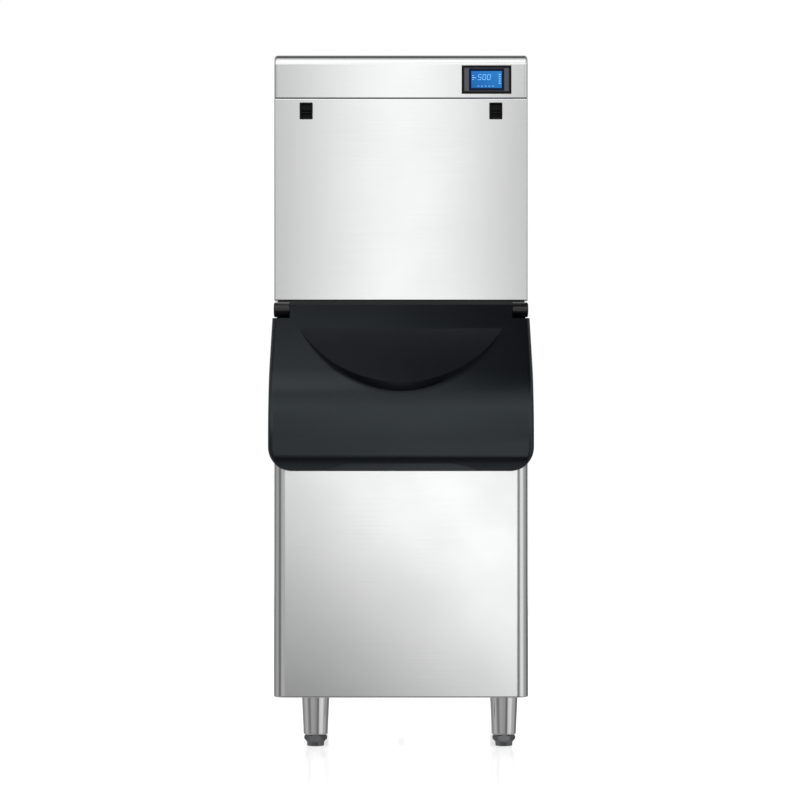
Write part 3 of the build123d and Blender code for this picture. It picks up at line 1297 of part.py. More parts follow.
def make_door_shell():
    """Hollow moulded door: skin, rolled bottom, laps, hinge notches with bosses, grip scoop."""
    low, top = back_line(-DOOR_LAP)
    boss_f = HINGE_F - BOSS_R
    skin = door_form(0, [(low[0], Z_DOOR_LOW), low, top, (boss_f, top[1] + 12), (boss_f, Z_DOOR_TOP)])
    void = door_form(DOOR_WALL, [(-DOOR_REACH, Z_DOOR_LOW + DOOR_WALL), (-DOOR_REACH, Z_DOOR_TOP - DOOR_WALL)])
    behind = block(
        (-DOOR_HALF + DOOR_WALL, DOOR_HALF - DOOR_WALL),
        (Y_HEAD - ROLL_F, Y_BACK),
        (Z_DOOR_LOW - 5, Z_DOOR_LOW + DOOR_CORNER_R),
    )
    shell = skin + make_visor(0) - void - make_visor(DOOR_WALL) - behind
    shell += door_ribs()
    shell -= notch()
    shell -= mirrored(notch())
    for side in (-1, 1):
        inner = X_HEAD - KNUCKLE_L - NOTCH_GAP
        start = (side * (inner - HINGE_PIN_L), Y_HINGE, Z_HINGE)
        end = (side * inner, Y_HINGE, Z_HINGE)
        shell += rod(start, end, BOSS_R)
        shell -= rod((side * (inner - HINGE_PIN_L - 1), Y_HINGE, Z_HINGE),
                     (side * (inner + 1), Y_HINGE, Z_HINGE), HINGE_PIN_R + HINGE_GAP)
    return shell - scoop()


def notch():
    """Room for the right-hand hinge bracket at the door's top corner."""
    low = Z_HINGE - KNUCKLE_R - NOTCH_GAP
    return block((X_HEAD - KNUCKLE_L - NOTCH_GAP, HEAD_W), (Y_HEAD - DOOR_REACH, Y_BACK), (low, Z_DOOR_TOP + 5))


def door_ribs():
    """Walls that close the hinge notches."""
    low, top = back_line(TRIM_T + GASKET_H + SEAT_GAP)
    back = [(low[0], Z_DOOR_LOW), low, top, (HINGE_F - BOSS_R, Z_HINGE + 4), (HINGE_F - BOSS_R, Z_DOOR_TOP)]
    core = door_form(0, back)
    start = X_HEAD - KNUCKLE_L - NOTCH_GAP - DOOR_WALL
    floor = Z_HINGE - KNUCKLE_R - NOTCH_GAP - DOOR_WALL
    corner = core & block((start, DOOR_HALF - 1), (Y_HEAD - DOOR_REACH, Y_BACK), (floor, Z_DOOR_TOP))
    return corner + mirrored(corner)


def scoop():
    """Arched cut in the skin's lower edge, where fingers reach up behind it."""
    low = Z_DOOR_LOW - 5
    top = Z_DOOR_LOW + SCOOP_H
    half = SCOOP_W / 2
    flat = SCOOP_TOP_W / 2
    bend = (half + flat) / 2
    curve = ThreePointArc((-half, low), (-bend, (low + 2 * top) / 3), (-flat, top))
    curve += Line((-flat, top), (flat, top))
    curve += ThreePointArc((flat, top), (bend, (low + 2 * top) / 3), (half, low))
    curve += Line((half, low), (-half, low))
    face = make_face(curve)
    return extrude(Plane.XZ.offset(-(Y_HEAD - ROLL_F - 0.01)) * face, DOOR_ROLL_R + 5)


def make_door_liner():
    """Inner skin parallel to the mouth, turned down behind the grip and closing its lower edge."""
    t = DOOR_LINER_T
    back = TRIM_T + GASKET_H + SEAT_GAP
    front = back + t
    lip_y = Y_HEAD - BIN_STEP - back / 2
    low_z = Z_DOOR_LOW + LIP_UP
    rib_z = Z_HINGE - KNUCKLE_R - NOTCH_GAP - DOOR_WALL - SEAT_GAP
    turn = (lip_y - slant_point(0, back)[0]) / SLANT_UP.Y
    corner = (lip_y - t - slant_point(0, front)[0]) / SLANT_UP.Y
    side_end = (rib_z - slant_point(0, front)[1]) / SLANT_UP.Z
    middle_end = (Z_DOOR_TOP - DOOR_WALL - SEAT_GAP - slant_point(0, front)[1]) / SLANT_UP.Z
    sheet = across(
        [
            slant_point(turn, back), slant_point(side_end, back), slant_point(side_end, front),
            slant_point(corner, front), (lip_y - t, low_z), (lip_y, low_z),
        ],
        -HEAD_W,
        HEAD_W,
    )
    between = X_HEAD - KNUCKLE_L - NOTCH_GAP - HINGE_PIN_L - 1
    sheet += across(
        [
            slant_point(side_end - t, back), slant_point(middle_end, back),
            slant_point(middle_end, front), slant_point(side_end - t, front),
        ],
        -between,
        between,
    )
    inset = DOOR_WALL + SEAT_GAP
    sheet &= door_front(inset, Z_DOOR_LOW + inset, DOOR_CORNER_R - inset)
    plug = scoop() & block((-SCOOP_W, SCOOP_W), (lip_y - t, lip_y), (Z_DOOR_LOW + SEAT_GAP, low_z))
    return sheet + plug


def make_door_gasket():
    """Rubber ring on the back of the door, just clear of the mouth's trim."""
    low = 16.0
    high = SLANT_L - BOSS_R - 14
    bottom, top = TRIM_T + SEAT_GAP, TRIM_T + SEAT_GAP + GASKET_H
    half = X_BIN - 10
    ring = across([slant_point(low, bottom), slant_point(high, bottom), slant_point(high, top), slant_point(low, top)],
                  -half, half)
    ring -= across(
        [slant_point(low + GASKET_W, bottom - 5), slant_point(high - GASKET_W, bottom - 5),
         slant_point(high - GASKET_W, top + 5), slant_point(low + GASKET_W, top + 5)],
        -half + GASKET_W,
        half - GASKET_W,
    )
    return ring


# Legs and feet

def make_leg(x, y):
    """Tapered steel leg, bored for the foot's stud."""
    low = FOOT_H + SEAT_GAP
    top = Z_BIN + SHEET
    bore = STUD_R + PIN_GAP
    body = Pos(x, y, low) * Cone(LEG_LOW_R, LEG_TOP_R, top - low, align=(Align.CENTER, Align.CENTER, Align.MIN))
    body = fillet(body.edges().filter_by(GeomType.CIRCLE).sort_by(Axis.Z)[0], LEG_EDGE_R)
    return body - rod((x, y, low - 1), (x, y, FOOT_H + STUD_L + 4), bore)


def make_foot(x, y):
    """Hexagonal levelling foot with a rounded sole and a threaded stud."""
    edge = FOOT_AF / math.sqrt(3)
    prism = Pos(x, y, 0) * extrude(RegularPolygon(edge, 6), FOOT_H)
    cone = turned(
        [(0, 0), (FOOT_BASE_R, 0), (FOOT_AF * 0.44, FOOT_H * 0.35), (edge, FOOT_H * 0.62),
         (edge, FOOT_H - 3), (FOOT_AF * 0.5, FOOT_H), (0, FOOT_H)],
        (x, y, 0),
    )
    return (prism & cone) + rod((x, y, FOOT_H - 1), (x, y, FOOT_H + STUD_L), STUD_R)


PIECES = {
    "top_cover": make_top_cover,
    "front_panel": make_front_panel,
    "right_side_panel": make_side_panel,
    "left_side_panel": lambda: mirrored(make_side_panel()),
    "rear_panel": make_rear_panel,
    "head_base": make_head_base,
    "partition_wall": make_partition_wall,
    "head_gasket": make_head_gasket,
    "display_bezel": make_display_bezel,
    "display_screen": make_display_screen,
    "latch_bezels": lambda: Compound(children=[make_latch_bezel(s * LATCH_X).solid() for s in (-1, 1)]),
    "left_latch_slider": lambda: make_latch_slider(-LATCH_X),
    "right_latch_slider": lambda: make_latch_slider(LATCH_X),
    "evaporator_plate": make_evaporator_plate,
    "evaporator_coil": make_evaporator_coil,
    "evaporator_frame": make_evaporator_frame,
    "thickness_probe": make_thickness_probe,
    "water_curtain": make_water_curtain,
    "water_distributor": make_water_distributor,
    "water_trough": make_water_trough,
    "water_pump": make_water_pump,
    "supply_tube": make_supply_tube,
    "float_valve": make_float_valve,
    "float_arm": make_float_arm,
    "compressor": make_compressor,
    "compressor_mounts": make_compressor_mounts,
    "condenser": make_condenser,
    "fan_shroud": make_fan_shroud,
    "fan_motor": make_fan_motor,
    "fan_blade": make_fan_blade,
    "filter_drier": make_filter_drier,
    "expansion_valve": make_expansion_valve,
    "hot_gas_valve": make_hot_gas_valve,
    "discharge_line": make_discharge_line,
    "suction_line": make_suction_line,
    "liquid_line": make_liquid_line,
    "electrical_box": make_electrical_box,
    "dump_valve": make_dump_valve,
    "water_inlet": make_water_inlet,
    "power_gland": make_power_gland,
    "bin_wrap": make_bin_wrap,
    "bin_back": make_bin_back,
    "bin_base": make_bin_base,
    "bin_liner": make_bin_liner,
    "bin_foam": make_bin_foam,
    "door_frame": make_door_frame,
    "right_hinge_bracket": make_hinge_bracket,
    "left_hinge_bracket": lambda: mirrored(make_hinge_bracket()),
    "bin_drain": make_bin_drain,
    "door_shell": make_door_shell,
    "door_liner": make_door_liner,
    "door_gasket": make_door_gasket,
}

for node, make in PIECES.items():
    export_step(make(), f"parts/{node}.step")

for corner, (leg_x, leg_y) in LEGS.items():
    export_step(make_leg(leg_x, leg_y), f"parts/{corner}_leg.step")
    export_step(make_foot(leg_x, leg_y), f"parts/{corner}_foot.step")
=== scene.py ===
import json
import math

import bmesh
import bpy
from mathutils import Matrix, Vector


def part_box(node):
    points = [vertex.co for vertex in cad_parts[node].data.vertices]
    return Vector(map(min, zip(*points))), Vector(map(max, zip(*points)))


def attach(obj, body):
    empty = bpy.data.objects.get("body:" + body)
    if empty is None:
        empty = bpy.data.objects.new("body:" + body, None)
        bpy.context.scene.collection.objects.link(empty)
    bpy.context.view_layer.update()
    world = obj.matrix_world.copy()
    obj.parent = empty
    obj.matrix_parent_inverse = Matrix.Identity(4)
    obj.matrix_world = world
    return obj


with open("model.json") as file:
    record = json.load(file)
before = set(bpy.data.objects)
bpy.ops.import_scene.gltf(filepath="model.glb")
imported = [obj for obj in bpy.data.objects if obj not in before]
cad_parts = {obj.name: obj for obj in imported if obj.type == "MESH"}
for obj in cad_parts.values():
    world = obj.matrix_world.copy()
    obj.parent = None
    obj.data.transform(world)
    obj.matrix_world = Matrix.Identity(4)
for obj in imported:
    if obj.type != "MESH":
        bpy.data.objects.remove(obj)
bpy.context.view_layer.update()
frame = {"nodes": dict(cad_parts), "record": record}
nodes = frame["nodes"]

bl_info = {
    "name": "Cube ice machine",
    "version": (1, 0, 0),
    "blender": (4, 5, 0),
    "location": "3D View > Sidebar > Ice machine",
    "description": "Finishes and small pieces for a cube ice machine on its bin",
    "category": "Object",
}


# Sizes and colours

class SteelLooks(bpy.types.PropertyGroup):
    colour: bpy.props.FloatVectorProperty(
        name="Steel colour", description="Colour of the brushed casing", subtype="COLOR",
        size=4, min=0, max=1, default=(0.80, 0.81, 0.805, 1))
    roughness: bpy.props.FloatProperty(
        name="Roughness", description="Blur of the casing's reflections", subtype="FACTOR",
        min=0, max=1, default=0.20)
    grain: bpy.props.FloatProperty(
        name="Grain", description="Depth of the brushed lines", subtype="FACTOR",
        min=0, max=1, default=0.10)


class DoorLooks(bpy.types.PropertyGroup):
    colour: bpy.props.FloatVectorProperty(
        name="Door colour", description="Colour of the moulded door", subtype="COLOR",
        size=4, min=0, max=1, default=(0.0024, 0.0031, 0.0042, 1))
    roughness: bpy.props.FloatProperty(
        name="Roughness", description="Blur of the door's reflections", subtype="FACTOR",
        min=0, max=1, default=0.25)


class ScreenLooks(bpy.types.PropertyGroup):
    glow: bpy.props.FloatProperty(
        name="Glow", description="Brightness of the lit screen", min=0, max=10, default=0.9)
    digits: bpy.props.StringProperty(
        name="Digits", description="What the screen shows", default="500")
    digit_height: bpy.props.FloatProperty(
        name="Digit height", description="Height of the digits", unit="LENGTH", default=0.0112)
    digit_left: bpy.props.FloatProperty(
        name="Digits from left", description="Window's left edge to the digits", unit="LENGTH",
        default=0.0160)
    digit_top: bpy.props.FloatProperty(
        name="Digits from top", description="Window's top edge to the digits", unit="LENGTH",
        default=0.0078)
    frame_side: bpy.props.FloatProperty(
        name="Frame side", description="Width of the grey strips beside the window",
        unit="LENGTH", default=0.0102)
    frame_height: bpy.props.FloatProperty(
        name="Frame edge", description="Grey edge above and below the window", unit="LENGTH",
        default=0.0012)
    border_side: bpy.props.FloatProperty(
        name="Border side", description="Navy border beside the lit window", unit="LENGTH",
        default=0.0055)
    border_height: bpy.props.FloatProperty(
        name="Border edge", description="Navy border above and below the lit window",
        unit="LENGTH", default=0.0059)


class StudioLooks(bpy.types.PropertyGroup):
    distance: bpy.props.FloatProperty(
        name="Distance", description="Camera to the head's front", unit="LENGTH", default=6.5)
    height: bpy.props.FloatProperty(
        name="Height", description="Camera above the floor", unit="LENGTH", default=0.747)
    lens: bpy.props.FloatProperty(
        name="Lens", description="Focal length", unit="CAMERA", default=132.4)
    key: bpy.props.FloatProperty(
        name="Key light", description="Power of the large light above", unit="POWER",
        min=0, max=1000, default=60)


# Node helpers

def maths(tree, operation, *values):
    """The result of a Math node; each value is a socket or a number."""
    node = tree.nodes.new("ShaderNodeMath")
    node.operation = operation
    for socket, value in zip(node.inputs, values):
        if isinstance(value, bpy.types.NodeSocket):
            tree.links.new(value, socket)
        else:
            socket.default_value = value
    return node.outputs[0]


def stretched(tree, vector, stretch):
    """A vector socket multiplied part by part by another."""
    node = tree.nodes.new("ShaderNodeVectorMath")
    node.operation = "MULTIPLY"
    tree.links.new(vector, node.inputs[0])
    tree.links.new(stretch, node.inputs[1])
    return node.outputs[0]


def noise(tree, place, scale, detail):
    """A Noise Texture node on a place socket, with its scale from another socket."""
    node = tree.nodes.new("ShaderNodeTexNoise")
    node.inputs["Detail"].default_value = detail
    tree.links.new(place, node.inputs["Vector"])
    tree.links.new(scale, node.inputs["Scale"])
    return node


def blend(tree, factor, first, second):
    """A number that goes from first to second with the factor."""
    node = tree.nodes.new("ShaderNodeMix")
    node.data_type = "FLOAT"
    tree.links.new(factor, node.inputs[0])
    tree.links.new(first, node.inputs[2])
    tree.links.new(second, node.inputs[3])
    return node.outputs[0]


def axes_of(tree, vector):
    """The X, Y and Z sockets of a vector."""
    node = tree.nodes.new("ShaderNodeSeparateXYZ")
    tree.links.new(vector, node.inputs[0])
    return node.outputs


def ramp(tree, source, stops):
    """A brightness that follows a list of (value, brightness) stops."""
    low, high = stops[0][0], stops[-1][0]
    spread = tree.nodes.new("ShaderNodeMapRange")
    spread.inputs["From Min"].default_value = low
    spread.inputs["From Max"].default_value = high
    tree.links.new(source, spread.inputs["Value"])
    peak = max(level for _, level in stops)
    curve = tree.nodes.new("ShaderNodeValToRGB")
    elements = curve.color_ramp.elements
    elements[0].position, elements[1].position = 0.0, 1.0
    elements[0].color = [stops[0][1] / peak] * 3 + [1]
    elements[1].color = [stops[-1][1] / peak] * 3 + [1]
    for value, level in stops[1:-1]:
        stop = elements.new((value - low) / (high - low))
        stop.color = [level / peak] * 3 + [1]
    tree.links.new(spread.outputs[0], curve.inputs[0])
    return maths(tree, "MULTIPLY", curve.outputs[0], peak)


# Shader groups

def new_group(name, inputs, outputs):
    """A shader node group with named sockets."""
    group = bpy.data.node_groups.new(name, "ShaderNodeTree")
    for label, kind, default in inputs:
        socket = group.interface.new_socket(name=label, in_out="INPUT", socket_type=kind)
        if default is not None:
            socket.default_value = default
    for label, kind in outputs:
        group.interface.new_socket(name=label, in_out="OUTPUT", socket_type=kind)
    start = group.nodes.new("NodeGroupInput")
    end = group.nodes.new("NodeGroupOutput")
    return group, start.outputs, end.inputs


def grain_group():
    """Fine lines along one direction, as brushing or drawing leaves them."""
    group, start, end = new_group(
        "brushed_lines",
        [("Place", "NodeSocketVector", None), ("Stretch", "NodeSocketVector", (1, 1, 1)),
         ("Fineness", "NodeSocketFloat", 60.0)],
        [("Lines", "NodeSocketFloat")],
    )
    drawn = stretched(group, start["Place"], start["Stretch"])
    lines = noise(group, drawn, start["Fineness"], detail=3)
    lines.inputs["Roughness"].default_value = 0.6
    group.links.new(lines.outputs["Fac"], end["Lines"])
    return group


def cloud_group():
    """Slow variation between two values, as handling and polishing leave it."""
    group, start, end = new_group(
        "handling_clouds",
        [("Place", "NodeSocketVector", None), ("Scale", "NodeSocketFloat", 4.0),
         ("Low", "NodeSocketFloat", 0.3), ("High", "NodeSocketFloat", 0.4)],
        [("Value", "NodeSocketFloat")],
    )
    clouds = noise(group, start["Place"], start["Scale"], detail=4)
    spread = group.nodes.new("ShaderNodeMapRange")
    spread.inputs["From Min"].default_value = 0.3
    spread.inputs["From Max"].default_value = 0.7
    group.links.new(clouds.outputs["Fac"], spread.inputs["Value"])
    group.links.new(start["Low"], spread.inputs["To Min"])
    group.links.new(start["High"], spread.inputs["To Max"])
    group.links.new(spread.outputs[0], end["Value"])
    return group


def tint_group():
    """A colour that drifts a little lighter and darker over a surface."""
    group, start, end = new_group(
        "tone_drift",
        [("Place", "NodeSocketVector", None),
         ("Colour", "NodeSocketColor", (0.5, 0.5, 0.5, 1)),
         ("Stretch", "NodeSocketVector", (1, 1, 1)), ("Scale", "NodeSocketFloat", 6.0),
         ("Amount", "NodeSocketFloat", 0.1)],
        [("Colour", "NodeSocketColor")],
    )
    drawn = stretched(group, start["Place"], start["Stretch"])
    drift = noise(group, drawn, start["Scale"], detail=5)
    centred = maths(group, "SUBTRACT", drift.outputs["Fac"], 0.5)
    gain = maths(group, "ADD", maths(group, "MULTIPLY", centred, start["Amount"]), 1.0)
    product = group.nodes.new("ShaderNodeVectorMath")
    product.operation = "SCALE"
    group.links.new(start["Colour"], product.inputs[0])
    group.links.new(gain, product.inputs["Scale"])
    group.links.new(product.outputs[0], end["Colour"])
    return group


GRAIN = grain_group()
CLOUDS = cloud_group()
TINT = tint_group()


def place_group(tree, group, place, **values):
    """Puts a shader group into a material, sets its inputs and returns its result."""
    node = tree.nodes.new("ShaderNodeGroup")
    node.node_tree = group
    tree.links.new(place, node.inputs["Place"])
    for label, value in values.items():
        node.inputs[label].default_value = value
    return node.outputs[0]


# Materials, by slot name. Drift, clouds and grain are explained at the groups above.

FINISHES = {
    "stainless": dict(
        name="brushed_stainless", metallic=1.0, drift=0.05, drift_scale=5,
        drift_stretch=(1, 1, 50), clouds=0.02, grain=(1, 1, 45), fineness=8),
    "galvanised": dict(
        name="galvanised_sheet", colour=(0.56, 0.58, 0.59, 1), roughness=0.42, metallic=0.9,
        drift=0.35, drift_scale=40, clouds=0.12, cloud_scale=45),
    "nickel": dict(
        name="nickel_plate", colour=(0.72, 0.70, 0.66, 1), roughness=0.24, metallic=1.0,
        drift=0.08, fineness=200, depth=0.1),
    "copper": dict(
        name="drawn_copper", colour=(0.72, 0.36, 0.22, 1), roughness=0.30, metallic=1.0,
        drift=0.35, drift_scale=18, clouds=0.10),
    "brass": dict(
        name="turned_brass", colour=(0.72, 0.56, 0.26, 1), roughness=0.28, metallic=1.0,
        drift=0.2, drift_scale=30, fineness=300),
    "aluminium": dict(
        name="pressed_aluminium", colour=(0.80, 0.81, 0.82, 1), roughness=0.32, metallic=1.0,
        drift=0.06, fineness=150),
    "fins": dict(
        name="fin_stock", colour=(0.66, 0.67, 0.68, 1), roughness=0.38, metallic=1.0,
        drift=0.2, drift_scale=25, grain=(60, 1, 1)),
    "enamel_black": dict(
        name="black_enamel", colour=(0.012, 0.012, 0.014, 1), roughness=0.22, drift=0.2,
        clouds=0.05, fineness=120, depth=0.15, Coat_Weight=0.3, Coat_Roughness=0.08),
    "leg_steel": dict(
        name="turned_leg_steel", colour=(0.80, 0.80, 0.80, 1), roughness=0.11, metallic=1.0,
        drift=0.04, clouds=0.02, grain=(1, 1, 80), fineness=40, depth=0.04),
    "foot_metal": dict(
        name="dark_foot_metal", colour=(0.20, 0.205, 0.21, 1), roughness=0.26, metallic=0.85,
        drift=0.25, drift_scale=60, fineness=400, depth=0.2),
    "door_plastic": dict(
        name="door_moulding", drift=0.15, drift_scale=3, cloud_scale=3, fineness=900,
        depth=0.12, step=0.0001, Specular_Tint=(0.80, 0.93, 1.0, 1)),
    "plastic_black": dict(
        name="black_moulding", colour=(0.003, 0.003, 0.0036, 1), roughness=0.36, drift=0.2,
        drift_scale=40, fineness=1200, depth=0.12, step=0.0001, Specular_IOR_Level=0.15),
    "hinge_black": dict(
        name="hinge_moulding", colour=(0.004, 0.004, 0.005, 1), roughness=0.24, drift=0.2,
        drift_scale=40, fineness=900, depth=0.1, step=0.0001),
    "moulding_light": dict(
        name="food_moulding", colour=(0.72, 0.73, 0.71, 1), roughness=0.42, drift_scale=9,
        fineness=500, depth=0.08, Subsurface_Weight=0.05),
    "curtain_clear": dict(
        name="clear_curtain", colour=(0.82, 0.88, 0.90, 1), roughness=0.10, drift=0.05,
        fineness=300, Transmission_Weight=0.85, IOR=1.46),
    "hose": dict(
        name="clear_hose", colour=(0.80, 0.84, 0.83, 1), roughness=0.16, drift=0.08,
        fineness=200, Transmission_Weight=0.6, IOR=1.45),
    "rubber_black": dict(
        name="black_rubber", colour=(0.010, 0.010, 0.010, 1), roughness=0.62, drift=0.25,
        drift_scale=50, fineness=700, depth=0.3),
    "foam": dict(
        name="poured_foam", colour=(0.72, 0.62, 0.40, 1), roughness=0.85, drift=0.3,
        drift_scale=60, fineness=250, depth=0.5, step=0.0006),
    "screw_zinc": dict(
        name="zinc_screws", colour=(0.70, 0.71, 0.72, 1), roughness=0.25, metallic=1.0,
        drift=0.1, drift_scale=90, fineness=600),
    "window_grey": dict(
        name="grey_window_frame", colour=(0.046, 0.050, 0.058, 1), roughness=0.34, drift=0.15,
        drift_scale=60, fineness=500),
    "window_navy": dict(
        name="navy_window_border", colour=(0.002, 0.006, 0.022, 1), roughness=0.30, drift=0.2,
        drift_scale=60, fineness=500, Specular_IOR_Level=0.1),
    "lit_digits": dict(
        name="lit_digits", colour=(0.14, 0.40, 0.70, 1), roughness=0.3, drift=0.1,
        drift_scale=200, Emission_Color=(0.14, 0.40, 0.70, 1), Emission_Strength=0.6),
}
SMOOTHEST = 0.02

# The screen's blue runs from deep to pale: its share in the middle, and what that gains to
# the right and upwards
SCREEN_DEEP = (0.003, 0.105, 0.40, 1)
SCREEN_PALE = (0.026, 0.24, 0.62, 1)
SCREEN_UNLIT = (0.004, 0.02, 0.06, 1)
SCREEN_MIDDLE = 0.42
SCREEN_ACROSS = 0.35
SCREEN_UP = 0.22
SCREEN_MOTTLE = dict(Colour=(1, 1, 1, 1), Scale=260.0, Amount=0.7)
SCREEN_ROUGHNESS = 0.12
SCREEN_SHINE = 0.15

MATERIALS = {}


def new_material(name):
    """A material with its tree, its shader and the Object coordinates."""
    material = bpy.data.materials.new(name)
    material.use_nodes = True
    tree = material.node_tree
    place = tree.nodes.new("ShaderNodeTexCoord").outputs["Object"]
    return material, tree, tree.nodes["Principled BSDF"], place


def finish_material(name, colour, roughness, metallic=0.0, drift=0.06, drift_scale=7.0,
                    drift_stretch=(1, 1, 1), clouds=0.04, cloud_scale=5.0, grain=(1, 1, 1),
                    fineness=60.0, depth=0.05, step=0.0002, **sockets):
    """A surface finish: drifting colour, clouded roughness and a fine relief."""
    material, tree, shader, place = new_material(name)
    tint = place_group(
        tree, TINT, place, Colour=colour, Stretch=drift_stretch, Scale=drift_scale,
        Amount=drift)
    tree.links.new(tint, shader.inputs["Base Color"])
    cloud = place_group(
        tree, CLOUDS, place, Scale=cloud_scale, Low=max(roughness - clouds, SMOOTHEST),
        High=roughness + clouds)
    tree.links.new(cloud, shader.inputs["Roughness"])
    lines = place_group(tree, GRAIN, place, Stretch=grain, Fineness=fineness)
    bump = tree.nodes.new("ShaderNodeBump")
    bump.inputs["Strength"].default_value = depth
    bump.inputs["Distance"].default_value = step
    tree.links.new(lines, bump.inputs["Height"])
    tree.links.new(bump.outputs["Normal"], shader.inputs["Normal"])
    shader.inputs["Metallic"].default_value = metallic
    for label, value in sockets.items():
        shader.inputs[label.replace("_", " ")].default_value = value
    return material


def screen_material(glow):
    """Blue lit screen, paler towards the upper right, with a fine mottle."""
    material, tree, shader, place = new_material("blue_screen")
    low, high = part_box("display_screen")
    half = (Vector(high) - Vector(low)) / 2
    centred = tree.nodes.new("ShaderNodeMapping")
    centred.vector_type = "TEXTURE"
    centred.inputs["Location"].default_value = (Vector(low) + Vector(high)) / 2
    centred.inputs["Scale"].default_value = (half.x, 1, half.z)
    tree.links.new(place, centred.inputs["Vector"])
    axes = axes_of(tree, centred.outputs[0])
    across = maths(tree, "MULTIPLY_ADD", axes["X"], SCREEN_ACROSS, SCREEN_MIDDLE)
    share = maths(tree, "MULTIPLY_ADD", axes["Z"], SCREEN_UP, across)
    blue = tree.nodes.new("ShaderNodeValToRGB")
    blue.color_ramp.elements[0].color = SCREEN_DEEP
    blue.color_ramp.elements[1].color = SCREEN_PALE
    tree.links.new(share, blue.inputs[0])
    mottle = place_group(tree, TINT, place, **SCREEN_MOTTLE)
    mixed = tree.nodes.new("ShaderNodeMix")
    mixed.data_type = "RGBA"
    mixed.blend_type = "MULTIPLY"
    mixed.inputs["Factor"].default_value = 1.0
    tree.links.new(blue.outputs[0], mixed.inputs["A"])
    tree.links.new(mottle, mixed.inputs["B"])
    tree.links.new(mixed.outputs["Result"], shader.inputs["Emission Color"])
    shader.inputs["Base Color"].default_value = SCREEN_UNLIT
    shader.inputs["Emission Strength"].default_value = glow
    shader.inputs["Roughness"].default_value = SCREEN_ROUGHNESS
    shader.inputs["Specular IOR Level"].default_value = SCREEN_SHINE
    return material


def make_materials(looks):
    """Every finish of the machine, by its slot name."""
    chosen = {
        "stainless": dict(
            colour=tuple(looks.steel.colour), roughness=looks.steel.roughness,
            depth=looks.steel.grain),
        "door_plastic": dict(
            colour=tuple(looks.door.colour), roughness=looks.door.roughness),
    }
    for slot, finish in FINISHES.items():
        MATERIALS[slot] = finish_material(**finish, **chosen.get(slot, {}))
    MATERIALS["screen_blue"] = screen_material(looks.screen.glow)


# Mesh helpers

SLOT_OF = {entry["node"]: entry["material_slot"] for entry in frame["record"]["subparts"]}
SHARP_EDGE = math.radians(35)
WELD = 0.00001


def add_piece(name, bm, finish, body):
    """Turns a bmesh into a finished piece that rides on a body."""
    mesh = bpy.data.meshes.new(name)
    bmesh.ops.recalc_face_normals(bm, faces=bm.faces)
    bm.to_mesh(mesh)
    bm.free()
    mesh.shade_smooth()
    mesh.set_sharp_from_angle(angle=SHARP_EDGE)
    piece = bpy.data.objects.new(name, mesh)
    bpy.context.scene.collection.objects.link(piece)
    mesh.materials.append(MATERIALS[finish])
    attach(piece, body)


def dress(names, finish=None):
    """Gives CAD nodes a finish, or that of their slot."""
    for node in names:
        mesh = nodes[node].data
        mesh.materials.clear()
        mesh.materials.append(MATERIALS[finish or SLOT_OF[node]])


def add_block(bm, low, high):
    """A rectangular block in a bmesh."""
    verts = bmesh.ops.create_cube(bm, size=1.0)["verts"]
    low, high = Vector(low), Vector(high)
    bmesh.ops.scale(bm, vec=high - low, verts=verts)
    bmesh.ops.translate(bm, vec=(low + high) / 2, verts=verts)


# A screw's head. The lengths after the radius are shares of it.
SCREW_RADIUS = 0.0042
SCREW_SIDES = 20
SCREW_TOP = 0.78
SCREW_HEIGHT = 0.5
SCREW_RIM = 0.12
SCREW_CROWN = 0.10
CROSS_ARM = (1.0, 0.2, 0.1)
CROSS_LIFT = 0.33
FACES_UP = 0.9
BACKWARDS = Vector((0, 1, 0))


def add_screw(bm, place, turn):
    """A domed screw head with a fine cross, facing backwards."""
    radius = SCREW_RADIUS
    made = bmesh.ops.create_cone(
        bm, cap_ends=True, segments=SCREW_SIDES, radius1=radius,
        radius2=radius * SCREW_TOP, depth=radius * SCREW_HEIGHT)
    verts = set(made["verts"])
    bm.normal_update()
    faces = {face for vert in verts for face in vert.link_faces}
    top = [face for face in faces if face.normal.z > FACES_UP]
    rim = bmesh.ops.inset_region(
        bm, faces=top, thickness=radius * SCREW_RIM, depth=radius * SCREW_CROWN)["faces"]
    verts |= {vert for face in rim + top for vert in face.verts}
    for angle in (0, 90):
        arm = bmesh.ops.create_cube(bm, size=1.0)["verts"]
        bmesh.ops.scale(bm, vec=radius * Vector(CROSS_ARM), verts=arm)
        bmesh.ops.translate(bm, vec=(0, 0, radius * CROSS_LIFT), verts=arm)
        spin = Matrix.Rotation(math.radians(angle + turn), 3, "Z")
        bmesh.ops.rotate(bm, cent=(0, 0, 0), matrix=spin, verts=arm)
        verts.update(arm)
    verts = list(verts)
    tip = Vector((0, 0, 1)).rotation_difference(BACKWARDS).to_matrix()
    bmesh.ops.rotate(bm, cent=(0, 0, 0), matrix=tip, verts=verts)
    middle = Vector(place) + BACKWARDS * radius * SCREW_HEIGHT / 2
    bmesh.ops.translate(bm, vec=middle, verts=verts)


# Steps

class MachineStep:
    """What the machine's operators share."""
    bl_options = {"REGISTER", "UNDO"}


class ICEMACHINE_OT_casing(MachineStep, bpy.types.Operator):
    """Brushed head casing and bin panels"""
    bl_idname = "icemachine.casing"
    bl_label = "Steel casing"

    def execute(self, context):
        dress(["top_cover", "front_panel", "bin_wrap", "left_side_panel", "right_side_panel",
               "rear_panel", "bin_back", "bin_base", "bin_liner", "head_base", "head_gasket",
               "partition_wall", "bin_foam"])
        return {"FINISHED"}


class ICEMACHINE_OT_door(MachineStep, bpy.types.Operator):
    """Moulded door with its inner skin, gasket, frame and hinge brackets"""
    bl_idname = "icemachine.door"
    bl_label = "Door"

    def execute(self, context):
        dress(["door_shell", "door_liner", "door_gasket", "door_frame"])
        dress(["left_hinge_bracket", "right_hinge_bracket"], "hinge_black")
        return {"FINISHED"}


